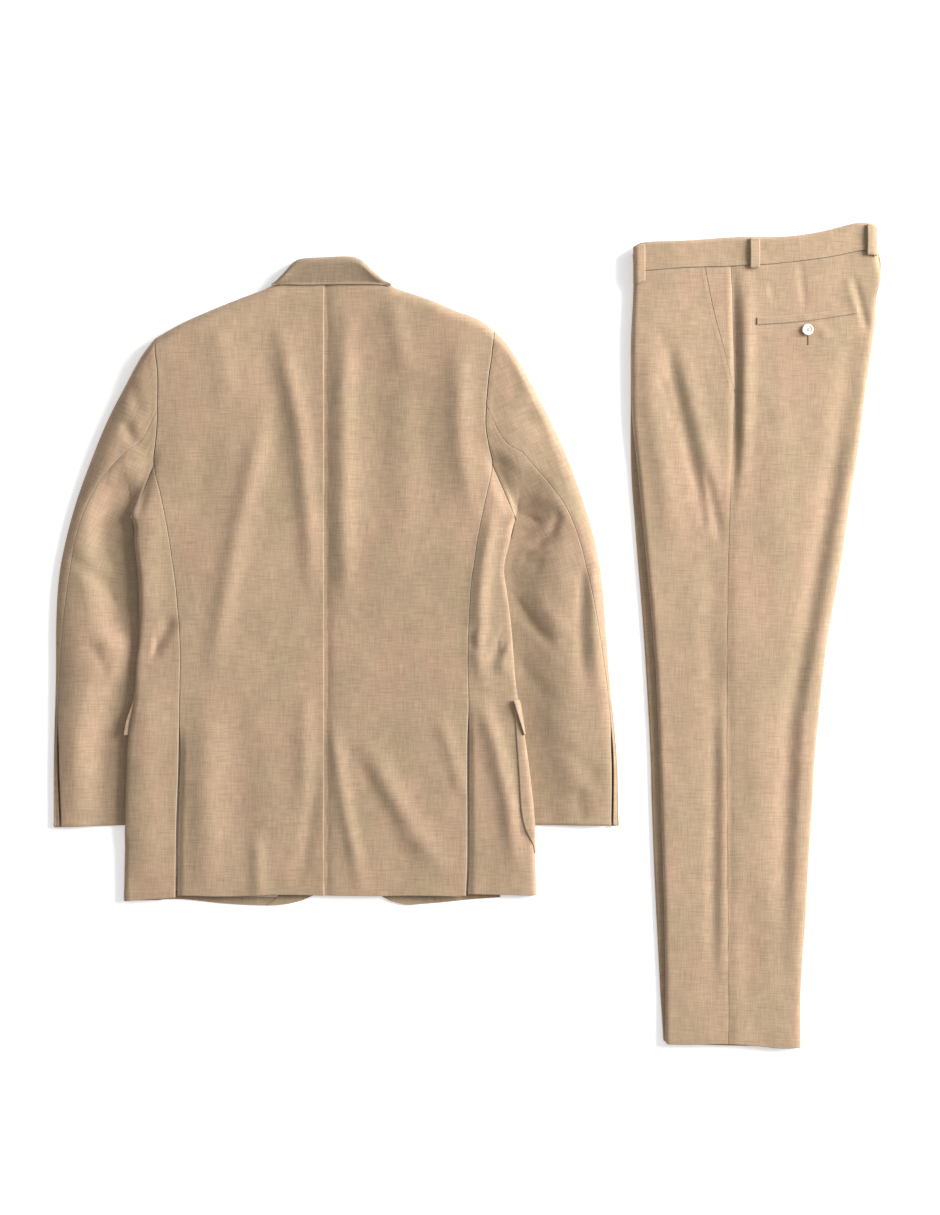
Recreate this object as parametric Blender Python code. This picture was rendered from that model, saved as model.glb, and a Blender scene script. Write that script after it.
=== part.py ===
"""Two-piece suit laid out flat: a jacket with its back up, and trousers folded leg on leg.

Every size and table is in millimetres, and MM turns it into Blender's metres.
A jacket place is (out from the centre back seam, up from the back hem), and its left is -X.
A trouser place is (across from the side seam, up from the hem).
"""

import math

import bpy
from mathutils import Vector

MM = 0.001

CLOTH = 1.5  # one panel with its backing
THIN_CLOTH = 0.9  # lining, welt and loops
GAP = 0.3  # free space between two pieces
SEAM = 0.25  # each panel stops this short of its seam line
NORMAL_STEP = 3e-5  # of a surface's length, either way, to find its normal
ARMHOLE_SHIFT = 0.7  # the sleeve starts this far out from the armhole

JACKET_AT = (-179.04, -324.38)
TROUSERS_AT = (325.76, -511.58)

COLOURS = {
    "suiting": (0.60, 0.47, 0.33),
    "lining": (0.72, 0.66, 0.58),
    "button": (0.86, 0.83, 0.77),
}

# Jacket heights above the surface that it lies on
SHOULDER_MID = 7.0  # the seam along the shoulder fold
SHOULDER_ROLL = 14.0  # how far in the back rises from that seam
SIDE_ROLL = 7.0
SIDE_UNDER_ROLL = 3.6
SIDE_MID = 5.0  # the body's side fold where nothing lies under it
SLEEVE_EDGE = 3.6  # thickness of the sleeve's inner edge, pressed flat under the body
SIDE_LIFT = 8.2  # underside of the body's edge where it lies on the sleeve
LIFT_ROWS = (55.0, 82.0, 440.0, 468.0)  # the lift's start, full stretch and end, up from the hem
LIFT_REACH = (14.5, 30.0)  # in from the body's edge: full lift up to here, none from here
LAYER = CLOTH + GAP
SIDE_PANEL_UNDER = 46.0  # how far the side panel reaches in on the underside

# up from the hem, out from centre back to the body's edge
BODY_EDGE = {
    "left": ((-8, 251), (81, 249), (194, 245), (244, 237.5), (294, 234), (319, 231), (369, 231),
             (400, 232.5), (437, 237), (469, 241), (540, 290), (700, 360)),
    "right": ((-8, 266.5), (86, 262.5), (131, 258.5), (204, 249), (261, 240), (311, 236), (340, 233.5),
              (376, 229), (409, 225), (441, 232), (470, 240), (540, 290), (700, 360)),
}
# up from the hem, out to the side seam, and above 537 to the armhole seam
BACK_EDGE = {
    "left": ((-8, 186), (84, 185), (156, 182.5), (231, 181), (311, 180), (382, 185), (420, 190),
             (460, 196), (500, 204), (537, 212.5), (566, 210), (585, 208.3), (614, 207.5), (642, 207),
             (661, 208), (675, 210), (696, 211)),
    "right": ((-8, 179), (45, 181), (156, 181), (227, 181), (299, 179.6), (382, 183), (420, 188), (441, 191),
              (470, 196.5), (500, 203), (537, 210.5), (560, 206), (585, 202), (611, 202.5), (632, 204),
              (651, 206), (671, 209), (690, 211), (705, 213)),
}
# out from centre back, height of the neck and shoulder line
SHOULDER_LINE = {
    "left": ((0, 768), (40, 767), (62, 763), (75, 757), (105, 746), (142, 731), (180, 714), (211, 696)),
    "right": ((0, 768), (50, 768), (78, 764), (92, 758), (131, 745), (164, 731), (195, 719), (213, 705)),
}
# up from the hem, out from centre back, from the side panel's seam on the underside to the shoulder
FRONT_ARMHOLE = {
    "left": ((495, 198), (560, 197), (620, 200), (696, 211)),
    "right": ((495, 198), (560, 197), (620, 200), (705, 213)),
}
BACK_CORNER = {"left": (212.5, 537), "right": (210.5, 537)}  # where side seam meets armhole
UNDERARM = {"left": (241, 469), "right": (240, 470)}
# out from centre back, hem height of the side panel and the front
PANEL_HEM = {
    "left": ((0, -1), (60, 0), (120, -2), (185, -1), (187, -3), (251, -8)),
    "right": ((0, -1), (60, -1.5), (120, -1), (178, -1.5), (181, 1), (266, -1)),
}

# up from the hem, height of the back at the centre seam, height at its outer seam
BACK_HEIGHTS = ((-8, 9.6, 10.8), (100, 9.8, 12), (250, 10, 13.5), (400, 10.5, 14), (500, 11.5, 15),
                (600, 13, 18), (680, 14, 21), (765, 12.5, 20))

# Soft folds of the body's upper side: start x, y, end x, y, half width, height
BODY_FOLDS = (
    (-50, 680, -14, 520, 20, 3.4),
    (-14, 520, -12, 395, 16, 2.4),
    (-88, 700, -58, 540, 22, -2.6),
    (-74, 585, -96, 500, 17, 2.4),
    (-96, 500, -128, 350, 20, 2.8),
    (-140, 560, -160, 420, 24, -2.2),
    (-56, 250, -56, 60, 20, 3.0),
    (-98, 270, -98, 110, 24, -2.2),
    (-150, 240, -140, 60, 22, 1.8),
    (26, 700, 24, 420, 17, 3.6),
    (66, 690, 74, 420, 26, -2.4),
    (92, 735, 104, 640, 16, 2.2),
    (128, 660, 132, 430, 24, -2.6),
    (172, 640, 168, 470, 22, 2.6),
    (40, 250, 74, 150, 22, -1.3),
    (74, 190, 160, 40, 20, 3.4),
    (160, 260, 170, 150, 17, 2.2),
    (-212, 410, -216, 330, 15, 4.2),
    (-198, 352, -214, 300, 9, -2.6),
    (-216, 220, -222, 60, 20, 1.8),
    (205, 400, 206, 330, 12, 3.0),
    (212, 318, 200, 292, 9, -2.6),
    (194, 240, 204, 80, 12, -3.0),
    (219, 240, 236, 80, 14, 3.2),
)
# The same for the sleeves' upper side
SLEEVE_FOLDS = (
    (-228, 655, -240, 610, 16, 3.0),
    (-252, 600, -228, 565, 15, -3.4),
    (-262, 560, -232, 530, 17, 3.6),
    (-284, 508, -262, 470, 20, 4.4),
    (-246, 500, -262, 440, 12, -4.4),
    (-316, 410, -268, 376, 15, -3.8),
    (-300, 350, -262, 330, 20, 3.2),
    (-288, 318, -262, 262, 13, -3.2),
    (-300, 250, -300, 110, 22, 2.6),
    (240, 640, 262, 590, 16, 2.4),
    (224, 600, 246, 560, 13, -2.8),
    (250, 520, 300, 500, 20, 2.6),
    (246, 474, 268, 470, 9, -4.0),
    (272, 480, 288, 450, 10, -3.6),
    (262, 442, 300, 425, 16, 3.6),
    (240, 372, 292, 318, 14, -3.8),
    (258, 392, 306, 352, 15, 2.8),
    (305, 400, 308, 280, 14, -3.4),
    (334, 400, 340, 260, 13, 2.4),
    (276, 250, 330, 130, 18, 2.2),
    (300, 160, 318, 110, 11, -2.2),
)

# along the sleeve from 0 at the armhole to 1 at the hem: outer edge x, y, inner edge y, and thickness
SLEEVE_ROWS = {
    "left": ((0, 211, 696, 469, 20), (0.06, 229, 673, 468, 20), (0.12, 249, 637, 467, 19),
             (0.2, 272, 592, 465, 18), (0.28, 292, 543, 462, 17), (0.36, 309, 496, 456, 17),
             (0.44, 322, 450, 436, 16), (0.52, 331.5, 402, 398, 15.5), (0.62, 335.5, 345, 343, 15),
             (0.74, 336, 270, 268, 14), (0.87, 338.5, 172, 171, 12.5), (1, 338.5, 84, 87, 10)),
    "right": ((0, 213, 705, 470, 20), (0.06, 233, 684, 469, 20), (0.12, 256, 646, 468, 19),
              (0.2, 281, 598, 466, 18), (0.28, 303, 551, 463, 17), (0.36, 321, 502, 457, 17),
              (0.44, 336, 455, 437, 16), (0.52, 346, 407, 400, 15.5), (0.62, 351.5, 348, 345, 15),
              (0.74, 357, 272, 270, 14), (0.87, 366.5, 170, 171, 12.5), (1, 368.8, 86, 87, 10)),
}
# along the sleeve: elbow seam's distance in from the outer edge
ELBOW_SEAM = {
    "left": ((0, 91), (0.06, 103), (0.12, 81), (0.2, 52), (0.28, 27), (0.36, 15), (0.44, 12),
             (0.52, 13), (0.62, 9.5), (0.74, 4.5), (0.8, 4), (0.87, 5.5), (1, 8.5)),
    "right": ((0, 95), (0.06, 115), (0.12, 93), (0.2, 64), (0.28, 41.5), (0.36, 25), (0.44, 20),
              (0.52, 17.5), (0.62, 10.6), (0.74, 4.5), (0.8, 4), (0.87, 6), (1, 8.5)),
}
SLEEVE_MID = 5.0  # height of the sleeve's outer edge
SLEEVE_ROLL = 14.0
SLEEVE_UNDER_ROLL = 6.0
# up from the hem, how far the sleeve's inner edge lies under the body's edge
TUCK = ((405, 8), (425, 5), (443, -0.6), (456, -4.0), (464, -4.5), (468, -3.0), (470, -0.5))
INNER_FLAT = 12.0  # width of the pressed strip along that edge
INNER_RISE = 30.0
FOREARM_SEAM = 24.0  # in from the sleeve's inner edge, on its underside
VENT_START = 0.8  # along the sleeve
VENT_STEP = 1.3  # how far the cuff's lower layer lies below the upper one

# along the front from the side: x, y of the hem; then the front edge from the hem's end up
FRONT_HEM = {
    "left": ((-215, -7), (-180, -6), (-128, -11.3), (-81, -13.8), (-50, -12.5), (-29, -8)),
    "right": ((84, -9), (102, -13), (124, -11.8), (151, -9.6), (182, -6.3), (230, -3)),
}
# up from the hem: x of the front edge, and above the break of the roll line
FRONT_EDGE = {
    "left": ((-8, -29), (-1, -14), (8, -5), (30, 10), (60, 25), (90, 36), (130, 43), (330, 43), (400, 28),
             (500, 0), (600, -27), (700, -55), (760, -72)),
    "right": ((-9, 84), (-1, 70), (10, 60), (30, 46), (60, 31), (90, 20), (130, 13), (330, 13), (400, 24),
              (500, 40), (600, 56), (700, 76), (760, 90)),
}
FRONT_OVERLAP = (49.0, 68.0)  # the right front rises one layer between these, to lie over the left one
OVERLAP_ROWS = (430.0, 460.0)  # from here up the fronts no longer lie on each other
NECK_OUT = {"left": 72.0, "right": 88.0}  # out from centre back to the front's neck point

# up from the hem, width of the turned-back lapel, and of the collar's end above it
LAPEL_WIDTH = ((462, 40), (490, 54), (530, 70), (592, 84), (612, 66), (630, 30))
COLLAR_END_WIDTH = ((646, 44), (680, 50), (710, 44), (742, 28))
LAPEL_ZONE = (384.5, 430.0, 130.0, 105.0)  # lift starts and is full up the front, and its reach across

POCKET_ROWS = (52.0, 235.0)
FLAP_ROWS = (200.0, 252.0)
POCKET_LIFT_ROWS = (14.0, 34.0, 258.0, 276.0)  # the front rises here to leave room for the pocket under it
POCKET_LIFT_REACH = (178.0, 200.0)
FLAP_OUT = 5.5  # how far the left flap sticks out beside the body

FLAP_FREE = 1.3  # station of the side panel where the left flap leaves the body
FLAP_SPRING = 40.0  # length over which it springs out

FACING_TOP = 262.0  # the facing and the lining end this far up
FACING_SEAM = 0.75  # station of the seam between lining and facing
FACING_GAP = 0.003

# Places at which the hems are read: the back's outer corner, the side panel's corner on the
# upper and on the under side, and the front's outer corner, all out from centre back
BACK_CORNER_OUT = 185
SIDE_CORNER_OUT = (190, 240)
FRONT_CORNER_OUT = 228
BACK_FULL_OUT = 200  # the back reaches its outer seam's height here

# across the neck: the collar's roll line and the free edge of its fall, up from the hem
COLLAR_ROLL = ((-66, 763.5), (-62.6, 766), (-50, 778.8), (-38.9, 791), (-28.9, 796), (1, 798), (33.6, 798.8),
               (47.4, 793.8), (61, 781), (77.4, 767.5), (84, 763.5))
COLLAR_FALL = ((-66, 760.8), (-53.9, 763.2), (-28.9, 762.5), (1, 763), (34.9, 763.3), (73.6, 763),
               (84, 760.8))
COLLAR_HEIGHT = 13.0
COLLAR_MID = 6.0
COLLAR_DEPTH = 4.8  # from the roll's middle down to the stand
COLLAR_STEPS = (10.0, 6.0)  # roll on the fall's side and on the stand's
COLLAR_CLEAR = 0.3  # the fall lies this much more than a layer above the back
COLLAR_BLEND = (4.0, 2.0)  # the fall's height starts to follow the back above the neck, and over this length
COLLAR_TUCK = (1.5, 1.2, 0.4)  # the back is read, and the stand ends, below the neck; least stand

# Trouser heights
LEG_MID = 8.0  # the upper leg's creases
LEG_ROLL = 9.0
LEG_LIP = 2.2  # how far the upper leg's cloth comes round below its crease
LEG_HEIGHTS = ((-5, 11), (150, 11.5), (500, 12.5), (800, 14), (960, 14.5), (1030, 14.5))
WAISTBAND_STEP = 1.3
WAIST_ROLL = 6.0

# up from the hem, across from the side seam
SIDE_SEAM = ((-5, 0.5), (6, 0.5), (106, 0.3), (358, -1.8), (537, -0.9), (618, 0.5), (730, 4.5), (782, 7.1),
             (817, 8.5), (873, 7.1), (923, 5.5), (980, 2.5))
POCKET_SLANT = ((812, 8.3), (820, 7.1), (866, -4.3), (915, -17.5), (967, -28), (985, -31))
UPPER_CREASE = ((-5, -78), (106, -78.1), (243, -81.9), (375, -86.3), (456, -89.5), (523, -94.4),
                (597, -101.3), (667, -107.9), (727, -113.8), (781, -119.4), (831, -120.6), (881, -120.6),
                (931, -118.8), (966, -117.5), (1005, -119))
LOWER_CREASE = ((-5, -80), (56, -83.8), (106, -86.3), (206, -91.3), (306, -95), (356, -96.3), (431, -100),
                (531, -106.3), (606, -112.5), (656, -116.3), (706, -120), (756, -121.3), (831, -121),
                (881, -121), (966, -117.6), (1005, -119))
BACK_CREASE = ((-5, 91.3), (56, 91.3), (106, 93.8), (156, 97.5), (231, 101.3), (306, 106.3), (356, 108.8),
               (406, 113.8), (456, 118.8), (506, 125), (556, 133.8), (606, 142.5), (656, 150), (706, 157.5),
               (756, 165), (806, 171.3), (856, 178.8), (898, 185), (926, 186.3), (956, 192.5), (983, 188.3),
               (994, 187), (1030, 186.3))
# across from the side seam, up from the hem
LEG_HEM = ((-79, 4), (-75.5, 0.5), (0, 0.5), (34, -1.5), (62, -4.5), (91, -4.5))
WAIST_SEAM = ((-118, 966), (-103.8, 967.3), (-53.8, 971), (2.5, 972.8), (25, 974.4), (47.5, 975.1),
              (88.8, 979.3), (129.4, 984.8), (162.5, 991.5), (187, 994))
WAIST_TOP = ((-119, 997), (-105.6, 1003.5), (-53.8, 1006), (12.5, 1010.3), (40, 1010.3), (72.5, 1011),
             (112.5, 1016), (146.3, 1024), (162.5, 1027.8), (181.3, 1026.6), (187, 1020))
WAIST_MIDDLE = 985.0  # up to the waistband's middle, where its ends are read
WAIST_ENDS = 6.0  # the waistband's step fades this far in from the creases
FACING_ROWS = (834.0, 970.0)  # the pocket's facing, up from the hem
FACING_SINK = 0.4  # how far it lies below the front panel
FACING_CLOTH = 1.1
LEG_FOLDS = (
    (-78, 880, -47, 745, 15, -3.0),
    (-47, 745, -28, 630, 14, -2.6),
    (-104, 890, -100, 800, 12, 2.2),
    (-60, 860, -34, 760, 12, 2.4),
    (-86, 820, -62, 700, 13, 2.4),
    (15, 955, 17, 700, 8, -2.6),
    (27, 940, 27, 720, 8, 2.4),
    (60, 860, 70, 700, 26, 1.8),
    (140, 860, 118, 560, 20, -2.4),
    (100, 840, 90, 640, 20, 1.6),
    (-20, 600, -40, 300, 26, 1.6),
    (40, 560, 36, 260, 26, -1.4),
    (70, 520, 62, 200, 20, 1.6),
    (20, 200, 16, 60, 22, 1.2),
    (-44, 240, -40, 60, 18, -1.2),
)
# Outline of the hidden layers' edges: distance in from the creases, and height. The upper leg's
# edge stands over the lower leg's, with a groove between them.
UNDER_BACK_EDGE = ((40, 0), (3, 0), (0.8, 1.0), (0.3, 2.6), (0.9, 4.2), (3.4, 5.0), (3.9, 5.6), (3.8, 7.0))
UNDER_FRONT_EDGE = ((3.2, 7.0), (3.9, 5.6), (3.4, 5.0))
LOWER_FRONT_EDGE = ((2.2, 4.8), (0.6, 4.0), (0, 2.5), (0.8, 0.9), (2.6, 0), (40, 0))
INSIDE_IN = 7.0  # the hidden layers' upper side starts this far in from the creases
INSIDE_LOW = 7.8  # lowest height of that side
INSIDE_CLEAR = LAYER + 0.1 + 3.2  # how far it stays below the upper leg's outside
INSIDE_TOP = (985.0, 800.0, 999.0, 8.0)  # heights read up to; bends to the waist from, to; ends below it
HEM_CLEAR = (0.4, 60.0)  # the hidden layers end above the hem, and rows up to here follow it

LOOP_RISE = 1.2
LOOP_TOP = 4.0  # the loops end this far below the waistband's top
LOOP_SLANT = 0.6  # share of the waist's slope that a loop's end follows
LOOP_CLEAR = 0.2
# across: each belt loop's two sides, and how far it hangs below the waistband's seam
BELT_LOOPS = (("front", -116.5, -104.0, 14.0), ("side", 27.0, 39.0, 3.5), ("back", 173.0, 184.5, 6.0))
WELT_TOP = ((35.4, 908.5), (96.8, 913.3), (161.5, 923.0))
WELT_HEIGHT = 9.0
WELT_RAISED = 1.7
BUTTON_AT = (99.0, 893.5)
BUTTON_RADIUS = 7.0
BUTTON_HEIGHT = 2.8
BUTTON_CLEAR = 0.5  # more than a gap, because the cloth under it isn't flat
BUTTON_STEPS = 24
# shares of the button's radius and of its height, round its edge from below
BUTTON_PROFILE = ((0, 0), (0.62, 0), (0.92, 0.16), (1, 0.45), (0.97, 0.82), (0.86, 1), (0.7, 0.92),
                  (0.56, 0.66), (0, 0.6))

# Grids: level rows are spaced over these lengths, and rows and stations are shares of them
EVEN_BACK = 700.0
EVEN_SIDE = 460.0
EVEN_LEG = 950.0
BACK_ROWS = (0, 0.059, 0.118, 0.177, 0.236, 0.295, 0.354, 0.413, 0.472, 0.531, 0.59, 0.649, 0.708, 0.767,
             0.8, 0.84, 0.88, 0.91, 0.935, 0.962, 0.98, 0.989, 0.995, 0.9985, 1.0)
FRONT_ROWS = [up / EVEN_BACK for up in (0, 10, 22, 36, 80, 130, 190, 258, 276, 339.4, 384.5, 430.5,
                                        461.8, 495, 530, 570, 620, 665, 688, 696, 699, 700)]
SIDE_ROWS = [up / EVEN_SIDE for up in (0, 16, 36, 52, 68, 100, 130, 160, 190, 214, 235, 258, 276, 305,
                                       335, 370, 405, 430, 447, 460)]
SIDE_STATIONS = (0.0, 0.22, 0.44, 0.64, 0.8, 0.88, 0.95, 0.985, 1.0, 1.03, 1.1, 1.3, 1.6, 2.0)
FRONT_STATIONS = (0, 0.13, 0.26, 0.4, 0.54, 0.66, 0.75, 0.82, 0.9, 1.0)
SLEEVE_STEPS = (0, 0.015, 0.05, 0.1, 0.15, 0.2, 0.26, 0.32, 0.38, 0.44, 0.5, 0.58, 0.68, 0.78, 0.8,
                0.87, 0.94, 1.0)
TOP_SLEEVE_STATIONS = (0, 0.3, 0.6, 0.85, 0.96, 0.99, 1.0, 1.04, 1.12, 1.3, 1.6, 2.0)
UNDER_SLEEVE_STATIONS = (0, 0.15, 0.3, 0.45, 0.6, 0.74, 0.85, 0.93, 0.975, 0.996, 1.0, 1.05, 1.5, 2.0)
COLLAR_STATIONS = (0, 0.3, 0.55, 0.72, 0.84, 0.93, 0.98, 1.0, 1.03, 1.1, 1.22, 1.5, 2.0)
POCKET_STEPS = (POCKET_ROWS[0], 68, 100, 130, 160, 190, 214, POCKET_ROWS[1])
FLAP_STEPS = (FLAP_ROWS[0], 214, 235, FLAP_ROWS[1])
LEG_STATIONS = (0, 0.16, 0.32, 0.48, 0.64, 0.8, 0.92, 0.965, 0.99, 1.0, 1.5, 2.0)
WAIST_ROWS = (0, 0.25, 0.5, 0.72, 0.86, 0.95, 0.988, 1.0)


def smooth(t):
    """0 up to t = 0, 1 from t = 1, with a soft step between."""
    t = min(1.0, max(0.0, t))
    return t * t * (3 - 2 * t)


def quarter(t):
    """Rise of a quarter circle, from 0 at t = 0 to 1 at t = 1 and beyond."""
    t = min(1.0, max(0.0, t))
    return math.sqrt(1 - (1 - t) ** 2)


def along(table, key, column=1):
    """Value of a column at a key in the first column, on a smooth curve through the rows."""
    if key <= table[0][0]:
        return table[0][column]
    if key >= table[-1][0]:
        return table[-1][column]
    i = next(n for n in range(len(table) - 1) if key <= table[n + 1][0])
    x0, x1 = table[i][0], table[i + 1][0]
    y0, y1 = table[i][column], table[i + 1][column]
    before, after = table[max(i - 1, 0)], table[min(i + 2, len(table) - 1)]
    slope0 = (y1 - before[column]) / (x1 - before[0])
    slope1 = (after[column] - y0) / (after[0] - x0)
    t, step = (key - x0) / (x1 - x0), x1 - x0
    return (
        y0 * (1 + 2 * t) * (1 - t) ** 2 + slope0 * step * t * (1 - t) ** 2
        + y1 * t * t * (3 - 2 * t) + slope1 * step * t * t * (t - 1)
    )


def spread(first, last, count):
    """Numbers at even steps from first to last, count steps in all."""
    return [first + (last - first) * n / count for n in range(count + 1)]


def relief(folds, x, y):
    """Height that the highest ridge and the deepest trough add at a place."""
    ridge = trough = 0.0
    for x0, y0, x1, y1, width, height in folds:
        dx, dy = x1 - x0, y1 - y0
        t = min(1.0, max(0.0, ((x - x0) * dx + (y - y0) * dy) / (dx * dx + dy * dy)))
        away2 = (x - x0 - t * dx) ** 2 + (y - y0 - t * dy) ** 2
        rise = height * math.exp(-away2 / width**2)
        ridge, trough = max(ridge, rise), min(trough, rise)
    return ridge + trough


class Scene:
    """The collection that the pieces go in, and their materials."""

    def __init__(self, name):
        for old in list(bpy.data.objects):
            bpy.data.objects.remove(old)
        self.collection = bpy.data.collections.new(name)
        bpy.context.scene.collection.children.link(self.collection)

    def material(self, node, slot):
        """A material of the piece's own, in its slot's colour."""
        made = bpy.data.materials.new(f"{node}_{slot}")
        made.use_nodes = True
        shader = made.node_tree.nodes["Principled BSDF"]
        shader.inputs["Base Color"].default_value = (*COLOURS[slot], 1)
        shader.inputs["Roughness"].default_value = 0.35 if slot == "button" else 0.9
        return made

    def add(self, name, points, faces, slot, at):
        """A mesh object from points in millimetres, placed at a garment's origin."""
        mesh = bpy.data.meshes.new(name)
        mesh.from_pydata([p * MM for p in points], [], faces)
        mesh.shade_smooth()
        mesh.set_sharp_from_angle(angle=math.radians(40))
        mesh.materials.append(self.material(name, slot))
        made = bpy.data.objects.new(name, mesh)
        made.location = (at[0] * MM, at[1] * MM, 0)
        self.collection.objects.link(made)
        return made


def normal_at(surface, row, station, row_step, station_step):
    """Unit normal of a surface of two values, by small steps either way."""
    across = surface(row, station + station_step) - surface(row, station - station_step)
    down = surface(row + row_step, station) - surface(row - row_step, station)
    return across.cross(down).normalized()


def wall_faces(rows, columns):
    """Faces of a wall whose outer grid is followed by its inner grid."""
    def outer(i, j):
        return i * columns + j

    def inner(i, j):
        return (rows + i) * columns + j

    faces = []
    for i in range(rows - 1):
        for j in range(columns - 1):
            # Both sides are split along the same diagonal, so that layers stay parallel
            faces.append((outer(i, j), outer(i, j + 1), outer(i + 1, j + 1)))
            faces.append((outer(i, j), outer(i + 1, j + 1), outer(i + 1, j)))
            faces.append((inner(i + 1, j + 1), inner(i, j + 1), inner(i, j)))
            faces.append((inner(i + 1, j), inner(i + 1, j + 1), inner(i, j)))
        faces.append((outer(i + 1, 0), inner(i + 1, 0), inner(i, 0), outer(i, 0)))
        last = columns - 1
        faces.append((outer(i, last), inner(i, last), inner(i + 1, last), outer(i + 1, last)))
    for j in range(columns - 1):
        faces.append((outer(0, j), inner(0, j), inner(0, j + 1), outer(0, j + 1)))
        end = rows - 1
        faces.append((outer(end, j + 1), inner(end, j + 1), inner(end, j), outer(end, j)))
    return faces


def wall(scene, name, surface, rows, stations, at, slot="suiting", thickness=CLOTH, outward=1, raised=0.0):
    """A cloth wall under a surface: its outer points lie on it, and its inner ones a thickness in.

    raised moves the whole wall out, for a piece that lies on another. outward is -1 where
    the surface's own normal points into the cloth. Rows are shares of a length, or millimetres.
    """
    row_step = NORMAL_STEP * abs(rows[-1] - rows[0])
    outer, inner = [], []
    for row in rows:
        for station in stations:
            point = surface(row, station)
            out = normal_at(surface, row, station, row_step, 1e-3) * outward
            outer.append(point + out * raised)
            inner.append(point + out * (raised - thickness))
    faces = wall_faces(len(rows), len(stations))
    if outward < 0:
        faces = [face[::-1] for face in faces]
    return scene.add(name, outer + inner, faces, slot, at)


def climb(row, hem, top, even):
    """How far up a row is: level rows with even spacing, bent to the hem below and the top edge above."""
    return even * row + hem * (1 - smooth(row / 0.1)) + (top - even) * smooth((row - 0.65) / 0.35)


def lerp(a, b, t):
    """The value t of the way from a to b."""
    return a + (b - a) * t


def window(value, start, full, full_end, end):
    """1 between full and full_end, 0 outside start and end, soft between."""
    return smooth((value - start) / (full - start)) * smooth((end - value) / (end - full_end))


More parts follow.
